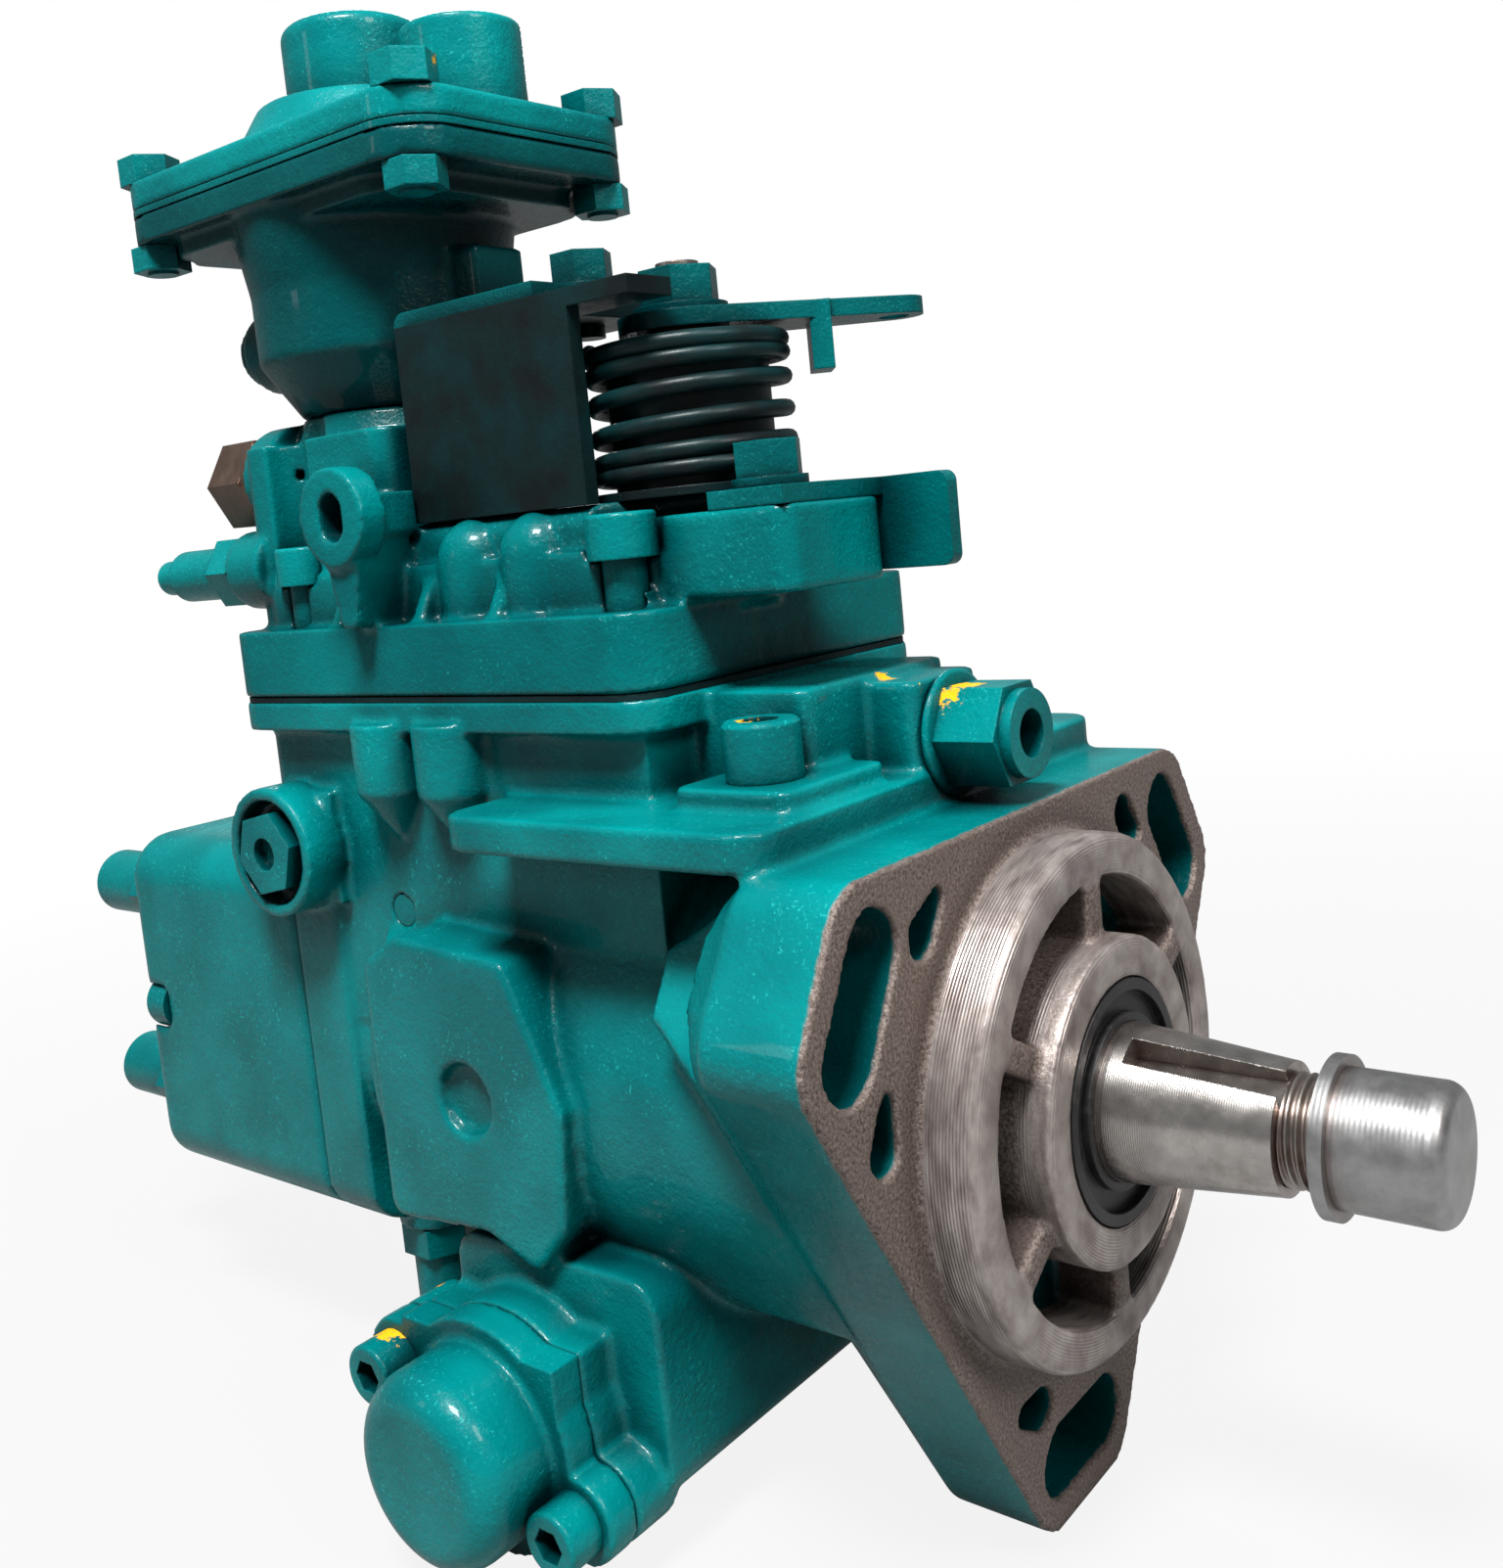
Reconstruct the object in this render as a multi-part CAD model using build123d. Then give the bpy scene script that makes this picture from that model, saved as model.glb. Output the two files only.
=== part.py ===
from build123d import *
from math import cos, pi, radians, sin, tan
import os

# Diesel distributor injection pump.
# Millimetres. +X runs along the drive shaft toward the engine, +Z is up.
# The origin is the centre of the pilot on the mounting face.

# Fits
RUN = 0.03
SEAT = 0.05
GAP = 0.3
AIR = 0.8

# Mounting flange, pilot and hub
PILOT_R = 34.0
PILOT_H = 7.5
PILOT_WALL = 5.5
FLANGE_T = 14.0
FAIRING_L = 20.0
FAIRING_SLOPE = 32.0
FLANGE_FLAT = 38.0
FLANGE_TIP = 57.5
FLANGE_ROUND = 7.0
SLOT_R = 48.5
SLOT_W = 10.0
SLOT_L = 22.0
SLOT_ANGLES = (30, 150, 270)
POCKET_R = 40.6
POCKET_TURN = 17.5
POCKET_D = 8.0
HUB_R = 21.0
HUB_H = 10.0
RIB_W = 4.0
RIB_N = 6
RIB_TURN = 30
RELIEF_D = 5.0

# Drive shaft
SHAFT_R = 10.0
TAPER_X = 11.0
TAPER_L = 20.0
TAPER_DROP = 2.0
KEY_W = 4.0
KEY_D = 2.2
STUD_R = 7.0
STUD_L = 17.0
NECK_R = 6.2
NECK_L = 4.0
SEAL_R = 15.5
SEAL_T = 7.0
CAP_WALL = 1.2
CAP_RIM_R = 9.6
CAP_RIM_T = 1.6
CAP_L = 14.0
CAP_END_GAP = 0.6

# Vane feed pump
FEED_R = 29.5
FEED_X = -18.0
FEED_T = 12.0
FEED_BORE_R = 21.0
FEED_OFF = 2.0
ROTOR_R = 17.5
VANE_T = 2.6
FEED_PLATE_T = 3.0

# Gears of the governor drive
TOOTH_M = 1.5
DRIVE_TEETH = 36
GOV_TEETH = 24
GEAR_X = -43.0
GEAR_T = 7.0
GEAR_BACKLASH = 0.25

# Cross coupling, roller ring and cam plate
CLAW_X = -59.0
CLAW_L = 6.0
CLAW_IN = 8.0
CLAW_OUT = 15.5
CLAW_ARC = 44
DISC_R = 16.5
RING_R = 27.0
RING_BORE = 17.5
RING_X = -57.5
RING_T = 14.0
ROLLER_R = 4.0
ROLLER_L = 7.0
ROLLER_AT = 22.2
ROLLER_OUT = 2.2
ROLLER_N = 4
PIN_R = 1.5
CAM_R = 26.5
CAM_T = 6.0
LOBE_H = 2.2
LOBE_BULGE = 13.0
PLUNGER_R = 6.0
PLUNGER_END = -157.0
FOOT_R = 9.0
FOOT_T = 3.0

# Plunger springs and control sleeve
BRIDGE_T = 3.0
SPRING_AT = 15.5
SPRING_R = 4.0
SPRING_WIRE = 1.0
SLEEVE_R = 9.5
SLEEVE_X = -95.5
SLEEVE_L = 9.0
SLEEVE_GROOVE = 3.2
SLEEVE_GROOVE_D = 2.2

# Housing castings
BARREL_R = 37.0
BARREL_END = -96.0
NECK_OUT_R = 30.0
REAR_X = -120.0
CAVITY_R = 30.5
NECK_BORE = 23.0
DECK_Z = 56.5
DECK_X0 = -126.0
DECK_X1 = -36.0
DECK_Y = 33.0
DECK_LIP = 4.5
DECK_ROUND = 6.0
CHAMBER_X0 = -114.0
CHAMBER_X1 = -42.0
CHAMBER_Y = 21.0
CHAMBER_Z = 0.0
SHELF_Z = 43.0
SHELF_T = 5.0
SHELF_Y = 44.0
SHELF_X0 = -66.0
PAD_Y = 40.0
PAD_X = -71.5
PORT_R = 5.2

# Fittings on the housing
GALLERY_X1 = -20.0
GALLERY_Y0 = -20.5
GALLERY_Y1 = 14.0
GALLERY_Z = 56.0
INLET_FACE_X = -12.5
INLET_Y = 2.0
INLET_Z = 47.0
INLET_THREAD_R = 5.0
INLET_HEX = 13.0
INLET_HEX_T = 9.0
INLET_BORE_R = 3.2
WASHER_T = 1.2
VALVE_X = -23.0
VALVE_Y = -26.0
VALVE_R = 4.0
VALVE_HEAD_R = 5.0
VALVE_HEAD_H = 7.5
VALVE_SEAT_Z = 45.8
PLUG_X = -114.0
PLUG_Z = 33.5
PLUG_R = 5.0
PLUG_RING_R = 8.3
PLUG_BOSS_R = 10.3
PLUG_FACE_Y = 38.0
PLUG_SINK = 4.0
PLUG_HEX = 12.0
PIVOT_R = 3.0
KEY_TURN = 28.0
ROLLER_TURN = 45.0
RETURN_X = -110.0
RETURN_Y = -17.0
RETURN_BOSS_L = 3.0
RETURN_R = 4.0
RETURN_DROP = 14.0
COVER_BOLT_IN = 14.0
COVER_BOLT_INX = 14.0
COVER_BOLT_INY = 7.5
TIMING_BOLT_IN = 9.0

# Distributor head
HEAD_HALF = 31.0
RETURN_Z = -HEAD_HALF - RETURN_BOSS_L
HEAD_ROUND = 8.0
HEAD_END = -170.0
SPIGOT_L = 9.0
BARREL_OUT = 11.0
OUTLET_R = 26.5
OUTLET_N = 4
OUTLET_TURN = 45
HOLDER_HEX = 14.0
HOLDER_HEX_T = 9.0
HOLDER_R = 6.0
HOLDER_OUT = 26.0
HOLDER_IN = 14.0
HEAD_BOLT_AT = 26.8
HEAD_BOLT_R = 3.0
HEAD_BOLT_IN = 12.0
HEAD_BOLT_SINK = 7.0

# Timing device
TIMING_X = RING_X - RING_T / 2
TIMING_Z = -42.0
TIMING_R = 10.0
TIMING_OUT = 16.5
TIMING_Y = 44.0
PISTON_HALF = 17.0
TIMING_TRAVEL = 6.0
PIN_POCKET_D = 4.0
TIMING_COVER_T = 5.0
DOME_R = 13.5
DOME_L = 12.0
TIMING_BOLT_R = 2.5
TIMING_BOLT_DX = 17.0
TIMING_BOLT_DZ = 6.5
TIMING_SPRING_R = 6.5

# Governor
GOV_Z = TOOTH_M * (DRIVE_TEETH + GOV_TEETH) / 2
GOV_SHAFT_R = 4.0
GOV_SHAFT_IN = 12.0
GOV_SHAFT_END = -80.0
CAGE_T = 2.5
WEIGHT_N = 4
WEIGHT_IN = 8.6
WEIGHT_OUT = 13.4
WEIGHT_L = 11.0
WEIGHT_W = 11.0
CHEEK_T = 1.1
GOV_SLEEVE_R = 7.0
GOV_SLEEVE_NOSE = 4.6
GOV_SLEEVE_TIP = -87.4
LEVER_X = -87.8
LEVER_T = 3.0
LEVER_W = 11.0
LEVER_TOP = 71.0
LEVER_PIVOT_X = -92.5
LEVER_PIVOT_Z = 24.0
LEVER_PIN_R = 2.5
GOV_SPRING_Z = 67.0
GOV_SPRING_R = 3.6

# Governor cover
COVER_T = 10.5
COVER_WALL = 5.0
GASKET_T = 0.8
ROOF_Z = 82.0
FRONT_Z = 76.0
COVER_IN = 5.0
TOWER_X0 = -125.0
TOWER_X1 = -88.0
TOWER_Y0 = -27.0
TOWER_Y1 = 20.0
TOWER_Z = 101.0
COVER_BOLT_R = 3.0
COVER_HEAD_R = 4.8
COVER_SEAT_Z = 74.5
ROOF_Y1 = 12.0
EYE_X = -88.0
EYE_Y = 38.0
EYE_Z = 84.0
EYE_R = 7.2
FULL_Y = -23.0
FULL_Z = 77.5
FULL_R = 3.0
FULL_TIP_X = -155.0
FULL_IN_X = -118.0
FULL_BODY_R = 4.4
FULL_HEX = 11.0
REAR_PLUG_Y = -17.0
REAR_PLUG_Z = 92.0
REAR_PLUG_R = 5.0

# Throttle shaft group
THR_X = -45.0
THR_Y = -7.0
THR_R = 5.0
THR_PLATE_Z = 104.5
THR_TOP_Z = 114.0
COIL_R = 13.4
COIL_WIRE = 1.15
COIL_TURNS = 6
BUSH_OUT = 6.5
STUD_TOP_R = 3.0
LEVER_PLATE_T = 2.4
CRANK_X = -49.5
CRANK_PIN_R = 1.5
CRANK_R = 8.6
GOV_SPRING_Y = -3.0
TIP_X = -25.0
TIP_Y = 16.0
LUG_TURN = 40.0
LUG_DROP = 7.0
SHEET_T = 2.4
SEAT_WASHER_T = 1.2
BRACKET_X0 = -84.0
BRACKET_X1 = -49.0
BRACKET_Y = -25.6
TOP_PLATE_Z = 108.0
FOOT_X1 = -63.0
FOOT_Y1 = -13.0
FOOT_BOLTS_X = (-78.0, -68.3)
FOOT_BOLT_Y = -17.8
FOOT_BOLT_R = 2.5
BRACKET_BOLT_L = 6.5
BENT_Z = 88.0
TAB_X = -25.2
TAB_Y = -16.4
TAB_Y1 = 0.0
TAB_X0 = -31.0
TAB_X1 = -19.0
LUG_Z0 = 68.5
TAB_END_X = -9.0
TAB_DROP = 10.0
STOP_X = -63.0
STOP_Y = -7.0

# Boost compensator
BOOST_X = -109.0
BOOST_Y = -6.0
BOOST_HX = 38.0
BOOST_HY = 24.0
BOOST_RIM_Z = 132.5
BOOST_RIM_T = 4.5
BOOST_ROUND = 9.0
BOOST_NECK_R = 15.0
BOOST_MID_R = 21.0
BOOST_BOWL_R = 23.0
BOOST_DX = 33.0
BOOST_DY = 19.0
BOOST_TOWER_R = 11.5
BOOST_TOWER_Z = 162.5
BOOST_SIDE_DX = 25.0
BOOST_SIDE_R = 9.2
BOOST_SIDE_Z = 156.0
BOOST_DOME_R = 19.5
BOOST_DOME_Z = 149.5
BOOST_PIN_R = 4.0
DIAPHRAGM_R = 20.5
DIAPHRAGM_T = 1.0
BOOST_SPRING_R = 10.0
BOOST_SPRING_Z = 112.0
BOOST_PIN_Z = 82.0
BOOST_PLATE_R = 14.0
NECK_PLUG_Y = -11.0
NECK_PLUG_Z = 114.0

os.makedirs("parts", exist_ok=True)


def block(x0, x1, y0, y1, z0, z1):
    size = Box(x1 - x0, y1 - y0, z1 - z0)
    return Pos((x0 + x1) / 2, (y0 + y1) / 2, (z0 + z1) / 2) * size


def x_rod(r, x0, x1, y=0.0, z=0.0):
    return Pos((x0 + x1) / 2, y, z) * Rot(0, 90, 0) * Cylinder(r, abs(x1 - x0))


def y_rod(r, y0, y1, x=0.0, z=0.0):
    return Pos(x, (y0 + y1) / 2, z) * Rot(90, 0, 0) * Cylinder(r, abs(y1 - y0))


def z_rod(r, z0, z1, x=0.0, y=0.0):
    return Pos(x, y, (z0 + z1) / 2) * Cylinder(r, abs(z1 - z0))


def x_cone(r0, r1, x0, x1, y=0.0, z=0.0):
    return Pos((x0 + x1) / 2, y, z) * Rot(0, 90, 0) * Cone(r0, r1, x1 - x0)


def z_cone(r0, r1, z0, z1, x=0.0, y=0.0):
    return Pos(x, y, (z0 + z1) / 2) * Cone(r0, r1, z1 - z0)


def x_plate(sketch, x0, x1):
    return extrude(Plane.YZ.offset(x0) * sketch, amount=x1 - x0, dir=(1, 0, 0))


def y_plate(sketch, y0, y1):
    return extrude(Plane.XZ.offset(-y0) * sketch, amount=y1 - y0, dir=(0, 1, 0))


def z_plate(sketch, z0, z1):
    return extrude(Plane.XY.offset(z0) * sketch, amount=z1 - z0, dir=(0, 0, 1))


def hexagon(flats):
    return RegularPolygon(radius=flats / 2, side_count=6, major_radius=False)


def x_hex(flats, x0, x1, y=0.0, z=0.0):
    return x_plate(Pos(y, z) * hexagon(flats), x0, x1)


def z_hex(flats, z0, z1, x=0.0, y=0.0):
    return z_plate(Pos(x, y) * hexagon(flats), z0, z1)


def polar(r, degrees):
    return (r * cos(radians(degrees)), r * sin(radians(degrees)))


def write(name, shape):
    export_step(shape, "parts/" + name + ".step")


def group(solids):
    return Compound(children=list(solids))


def coil(r, wire, turns, length):
    """A closed-section helical spring along +Z from z=0, its wire ends flat cut."""
    pitch = (length - 2 * wire) / turns
    path = Pos(0, 0, wire) * Helix(pitch, pitch * turns, r)
    return sweep(Plane(path @ 0, z_dir=path % 0) * Circle(wire), path)


# Mounting flange

def flange_outline():
    half = (2 * FLANGE_FLAT - FLANGE_TIP) * tan(radians(30))
    points = []
    for a in sorted(SLOT_ANGLES):
        for side in (-1, 1):
            tip = polar(FLANGE_TIP, a)
            edge = polar(side * half, a + 90)
            points.append((tip[0] + edge[0], tip[1] + edge[1]))
    shape = Polygon(*points, align=None)
    return fillet(shape.vertices(), FLANGE_ROUND)


def flange_slot(a):
    return Rot(0, 0, a) * Pos(SLOT_R, 0) * Rot(0, 0, 90) * SlotOverall(SLOT_L, SLOT_W)


def flange_pocket(a):
    small = Pos(0, -3.2) * Circle(1.4)
    large = Pos(0, 2.0) * Circle(2.8)
    return Rot(0, 0, a) * Pos(POCKET_R, 0) * make_hull((small + large).edges())


def pilot_recess():
    ring = Circle(PILOT_R - PILOT_WALL) - Circle(HUB_R - 3.0)
    for i in range(RIB_N):
        ring -= Rot(0, 0, RIB_TURN + i * 360 / RIB_N) * Pos(PILOT_R / 2, 0) * Rectangle(PILOT_R, RIB_W)
    return ring


def flange_solid():
    body = x_plate(flange_outline(), -FLANGE_T, 0)
    body += x_rod(PILOT_R, 0, PILOT_H)
    body = chamfer(body.edges().sort_by(Axis.X)[-1:], 1.0)
    body -= x_plate(pilot_recess(), PILOT_H - RELIEF_D - 4.0, PILOT_H)
    body += x_rod(HUB_R, -FLANGE_T, HUB_H)
    for a in SLOT_ANGLES:
        body -= x_plate(flange_slot(a), -FLANGE_T, 0)
        for side in (-1, 1):
            body -= x_plate(flange_pocket(a + side * POCKET_TURN), -POCKET_D, 0)
    return body


# Pump housing

def deck_outline(inset=0.0):
    length = DECK_X1 - DECK_X0 - 2 * inset
    shape = RectangleRounded(length, 2 * (DECK_Y - inset), DECK_ROUND - inset / 2)
    return Pos((DECK_X0 + DECK_X1) / 2, 0) * shape


def side_pad(y0, y1):
    points = [(-91, 19), (-83, 23.5), (-61, 22), (-52, 2), (-54, -15), (-60, -22), (-70, -18), (-91, -20)]
    face = fillet(Polygon(*points, align=None).vertices(), 2.5)
    return y_plate(face, y0, y1)


def housing_outside():
    body = flange_solid()
    back = Plane.YZ.offset(-FLANGE_T) * flange_outline()
    fairing = extrude(back, amount=-FAIRING_L, taper=FAIRING_SLOPE)
    for a in SLOT_ANGLES:
        fairing -= x_plate(flange_slot(a), -FLANGE_T - FAIRING_L - 1, -FLANGE_T)
    body += fairing
    body += x_rod(BARREL_R, BARREL_END, -FLANGE_T)
    body += x_cone(NECK_OUT_R, BARREL_R, BARREL_END - 5, BARREL_END)
    body += x_rod(NECK_OUT_R, REAR_X, BARREL_END)
    body += x_plate(RectangleRounded(2 * HEAD_HALF, 2 * HEAD_HALF, HEAD_ROUND), REAR_X, REAR_X + 12)
    body += z_plate(deck_outline(), DECK_Z - DECK_LIP, DECK_Z)
    body += z_plate(deck_outline(3.0), HEAD_HALF + AIR, DECK_Z - 1)
    body += block(REAR_X + 1, DECK_X1 - 3, -DECK_Y + 3, DECK_Y - 3, 5, DECK_Z - 1)
    shelf = block(SHELF_X0, 2 - FLANGE_T, -SHELF_Y, SHELF_Y, SHELF_Z - SHELF_T, SHELF_Z)
    body += fillet(shelf.edges().filter_by(Axis.Z), 5.0)
    for x in (-90.0, -76.0):
        body += z_rod(6.2, SHELF_Z, DECK_Z - 3, x, 3 - DECK_Y)
        body += z_cone(1.0, 6.2, SHELF_Z - 7, SHELF_Z, x, 3 - DECK_Y)
        body += z_rod(6.2, SHELF_Z, DECK_Z - 3, x, DECK_Y - 3)
    body += side_pad(-PAD_Y, -BARREL_R / 2)
    body += y_rod(18.0, BARREL_R / 2, PAD_Y - 1.0, PAD_X, 2.0)
    return body


def inlet_gallery():
    body = block(DECK_X1 - 4, GALLERY_X1, GALLERY_Y0, GALLERY_Y1, SHELF_Z - 1, GALLERY_Z)
    body = fillet(body.edges().filter_by(Axis.Z), 2.0)
    port = block(GALLERY_X1 - 4, INLET_FACE_X, INLET_Y - 9, INLET_Y + 8, SHELF_Z - 7, GALLERY_Z - 1)
    body += fillet(port.edges().filter_by(Axis.Z), 2.0)
    boss = block(DECK_X1 + 4, -FLANGE_T, VALVE_Y - 8, VALVE_Y + 14, SHELF_Z - 1, VALVE_SEAT_Z)
    return body + fillet(boss.edges().filter_by(Axis.Z), 2.0)


def timing_block():
    body = y_rod(TIMING_OUT, -TIMING_Y, TIMING_Y, TIMING_X, TIMING_Z)
    core = block(TIMING_X - 15, TIMING_X + 24, -TIMING_Y + 6, TIMING_Y - 6, TIMING_Z - 9, -20)
    body += fillet(core.edges().filter_by(Axis.Y), 5.0)
    for side in (-1, 1):
        y = side * TIMING_Y
        plate = Pos(TIMING_X, TIMING_Z) * timing_outline(side)
        body += y_plate(plate, min(y, y - side * 8), max(y, y - side * 8))
    return body


def timing_outline(side):
    square = Rectangle(2 * TIMING_BOLT_DX - 4, 2 * TIMING_OUT - 6)
    shape = square + Circle(TIMING_OUT)
    for s in (-1, 1):
        shape += Pos(-side * s * TIMING_BOLT_DX, -s * TIMING_BOLT_DZ) * Circle(TIMING_BOLT_R + 3.5)
    return shape


def boss_and_ports():
    body = y_rod(PLUG_BOSS_R, -PLUG_FACE_Y, -HEAD_HALF, PLUG_X, PLUG_Z)
    body += block(REAR_X + 0.5, PLUG_X + 9, -HEAD_HALF - 1, -20, PLUG_Z - 9, PLUG_Z + 9)
    body += z_rod(6.5, RETURN_Z, -20, RETURN_X, RETURN_Y)
    return body


def housing_cavities():
    cut = x_rod(SHAFT_R + RUN, FEED_X - 1, HUB_H - SEAL_T)
    cut += x_rod(SEAL_R, HUB_H - SEAL_T, HUB_H + 1)
    cut += x_rod(FEED_R + SEAT, FEED_X - FEED_T - FEED_PLATE_T, FEED_X)
    cut += x_rod(CAVITY_R, RING_X, FEED_X - FEED_T - FEED_PLATE_T)
    cut += x_rod(RING_R + RUN, RING_X - RING_T, RING_X)
    cut += x_rod(CAVITY_R, BARREL_END + 2, RING_X - RING_T)
    cut += x_rod(NECK_BORE, REAR_X - 1, BARREL_END + 3)
    cut += block(CHAMBER_X0, CHAMBER_X1, -CHAMBER_Y, CHAMBER_Y, CHAMBER_Z, DECK_Z + 1)
    cut += x_rod(GOV_SHAFT_R, CHAMBER_X1 - 1, CHAMBER_X1 + GOV_SHAFT_IN, 0, GOV_Z)
    cut += y_rod(TIMING_R + RUN, -TIMING_Y - 1, TIMING_Y + 1, TIMING_X, TIMING_Z)
    cut += block(TIMING_X - 5, TIMING_X + 5, -5, 12, TIMING_Z, -RING_R + 2)
    cut += y_rod(LEVER_PIN_R, -DECK_Y - 5, DECK_Y + 5, LEVER_PIVOT_X, LEVER_PIVOT_Z)
    return cut


def housing_holes():
    cut = x_rod(INLET_THREAD_R, INLET_FACE_X - 10, INLET_FACE_X + 1, INLET_Y, INLET_Z)
    cut += z_rod(VALVE_R, VALVE_SEAT_Z - 12, VALVE_SEAT_Z + 1, VALVE_X, VALVE_Y)
    cut += y_rod(PLUG_R, -PLUG_FACE_Y - 1, -PLUG_FACE_Y + 12, PLUG_X, PLUG_Z)
    cut += y_rod(PLUG_RING_R, -PLUG_FACE_Y - 1, -PLUG_FACE_Y + PLUG_SINK, PLUG_X, PLUG_Z)
    cut += y_rod(PORT_R, -PAD_Y - 1, -PAD_Y + 2.0, PAD_X, 1.0)
    cut += z_rod(RETURN_R, RETURN_Z - 1, RETURN_Z + 9, RETURN_X, RETURN_Y)
    for x, y in cover_bolt_places():
        cut += z_rod(COVER_BOLT_R, DECK_Z - COVER_BOLT_IN, DECK_Z + 1, x, y)
    for y, z in head_bolt_places():
        cut += x_rod(HEAD_BOLT_R, REAR_X - 1, REAR_X + HEAD_BOLT_IN, y, z)
    for side in (-1, 1):
        for x, z in timing_bolt_places(side):
            y = side * TIMING_Y
            cut += y_rod(TIMING_BOLT_R, y - side * TIMING_BOLT_IN, y + side, x, z)
    return cut


def pump_housing():
    body = housing_outside() + inlet_gallery() + timing_block() + boss_and_ports()
    body -= housing_cavities()
    body -= housing_holes()
    return body


def cover_bolt_places():
    x0 = DECK_X0 + COVER_BOLT_INX
    x1 = DECK_X1 - COVER_BOLT_INY
    y = DECK_Y - COVER_BOLT_INY
    return [(x0, -y), (x0, y), (x1, -y), (x1, y)]


def head_bolt_places():
    return [polar(HEAD_BOLT_AT, a) for a in (0, 90, 180, 270)]


def timing_bolt_places(side):
    return [(TIMING_X - side * s * TIMING_BOLT_DX, TIMING_Z - s * TIMING_BOLT_DZ) for s in (-1, 1)]


# Shaft line

def drive_shaft():
    taper_end = TAPER_X + TAPER_L
    stud_x = taper_end + NECK_L
    small = SHAFT_R - TAPER_DROP
    body = x_rod(SHAFT_R, GEAR_X - GEAR_T, TAPER_X)
    body += x_cone(SHAFT_R, small, TAPER_X, taper_end)
    body += x_rod(NECK_R, taper_end, stud_x)
    body += x_rod(STUD_R, stud_x, stud_x + STUD_L - NECK_L)
    body += x_rod(CLAW_OUT, GEAR_X - GEAR_T - 4, GEAR_X - GEAR_T)
    body += x_rod(CLAW_IN - 1, CLAW_X, GEAR_X - GEAR_T)
    for a in (0, 180):
        body += Rot(a, 0, 0) * claw(CLAW_X - CLAW_L, GEAR_X - GEAR_T)
    key_x = TAPER_X + 1.5
    slot = block(key_x, taper_end + 1, -KEY_W / 2, KEY_W / 2, small - KEY_D, SHAFT_R + 1)
    body -= Rot(KEY_TURN, 0, 0) * slot
    return body


def claw(x0, x1):
    ring = Circle(CLAW_OUT) - Circle(CLAW_IN)
    half = CLAW_ARC / 2
    far = 2 * CLAW_OUT
    a = polar(far, -half)
    b = polar(far, half)
    wedge = Polygon((0, 0), a, (far, 0), b, align=None)
    return x_plate(ring & wedge, x0, x1)


def shaft_cap():
    x0 = TAPER_X + TAPER_L + NECK_L + 0.6
    x1 = x0 + CAP_L
    body = x_rod(STUD_R + SEAT + CAP_WALL, x0, x1)
    body += x_rod(CAP_RIM_R, x0, x0 + CAP_RIM_T)
    body = fillet(body.edges().sort_by(Axis.X)[-1:], 2.0)
    body -= x_rod(STUD_R, x0 - 1, TAPER_X + TAPER_L + STUD_L + CAP_END_GAP)
    return body


def shaft_seal():
    x0 = HUB_H - SEAL_T
    body = x_rod(SEAL_R, x0, HUB_H)
    body -= x_rod(SHAFT_R + RUN, x0, HUB_H)
    body -= x_rod(SEAL_R - 1.5, HUB_H - 1.2, HUB_H) - x_rod(SHAFT_R + 1.2, HUB_H - 1.2, HUB_H)
    body -= x_rod(SEAL_R - 2.5, x0, x0 + 4.0) - x_rod(SHAFT_R + 1.5, x0, x0 + 4.0)
    return body


def feed_ring():
    x0 = FEED_X - FEED_T - FEED_PLATE_T
    body = x_rod(FEED_R, x0, FEED_X) - x_rod(SHAFT_R + RUN, x0, FEED_X)
    body -= x_rod(FEED_BORE_R, FEED_X - FEED_T, FEED_X, FEED_OFF, 0)
    for s in (-1, 1):
        body -= Rot(s * 70, 0, 0) * block(FEED_X - 3, FEED_X, -4, 4, FEED_BORE_R - 3, FEED_BORE_R + 2)
    return body


def feed_rotor():
    x0 = FEED_X - FEED_T + 0.1
    x1 = FEED_X - 0.1
    body = x_rod(ROTOR_R, x0, x1) - x_rod(SHAFT_R, x0, x1)
    for i in range(4):
        slot = block(x0, x1, -VANE_T / 2 - RUN, VANE_T / 2 + RUN, ROTOR_R - 6, ROTOR_R + 2)
        body -= Rot(45 + 90 * i, 0, 0) * slot
    return body


def feed_vanes():
    top = FEED_BORE_R - FEED_OFF - GAP
    x0 = FEED_X - FEED_T + 0.1
    x1 = FEED_X - 0.1
    bottom = ROTOR_R - 5.5
    blade = block(x0, x1, -VANE_T / 2, VANE_T / 2, bottom, top)
    return group([Rot(45 + 90 * i, 0, 0) * blade for i in range(4)])


def gear_outline(teeth):
    pitch_r = TOOTH_M * teeth / 2
    root_r = pitch_r - 1.25 * TOOTH_M
    tip_r = pitch_r + TOOTH_M - GEAR_BACKLASH
    root_w = TOOTH_M * 1.0
    pitch_w = TOOTH_M * pi / 4 - GEAR_BACKLASH
    tip_w = TOOTH_M * 0.36
    shape = Circle(root_r)
    side = [(root_r - 0.3, -root_w), (pitch_r, -pitch_w), (tip_r, -tip_w)]
    tooth = side + [(x, -y) for x, y in reversed(side)]
    blank = Polygon(*tooth, align=None)
    for i in range(teeth):
        shape += Rot(0, 0, 360 * i / teeth) * blank
    return shape


def drive_gear():
    body = x_plate(gear_outline(DRIVE_TEETH), GEAR_X - GEAR_T, GEAR_X)
    body -= x_rod(SHAFT_R, GEAR_X - GEAR_T, GEAR_X)
    for i in range(6):
        body -= Rot(60 * i, 0, 0) * x_rod(3.0, GEAR_X - GEAR_T, GEAR_X, 17.0, 0)
    return body


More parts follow.
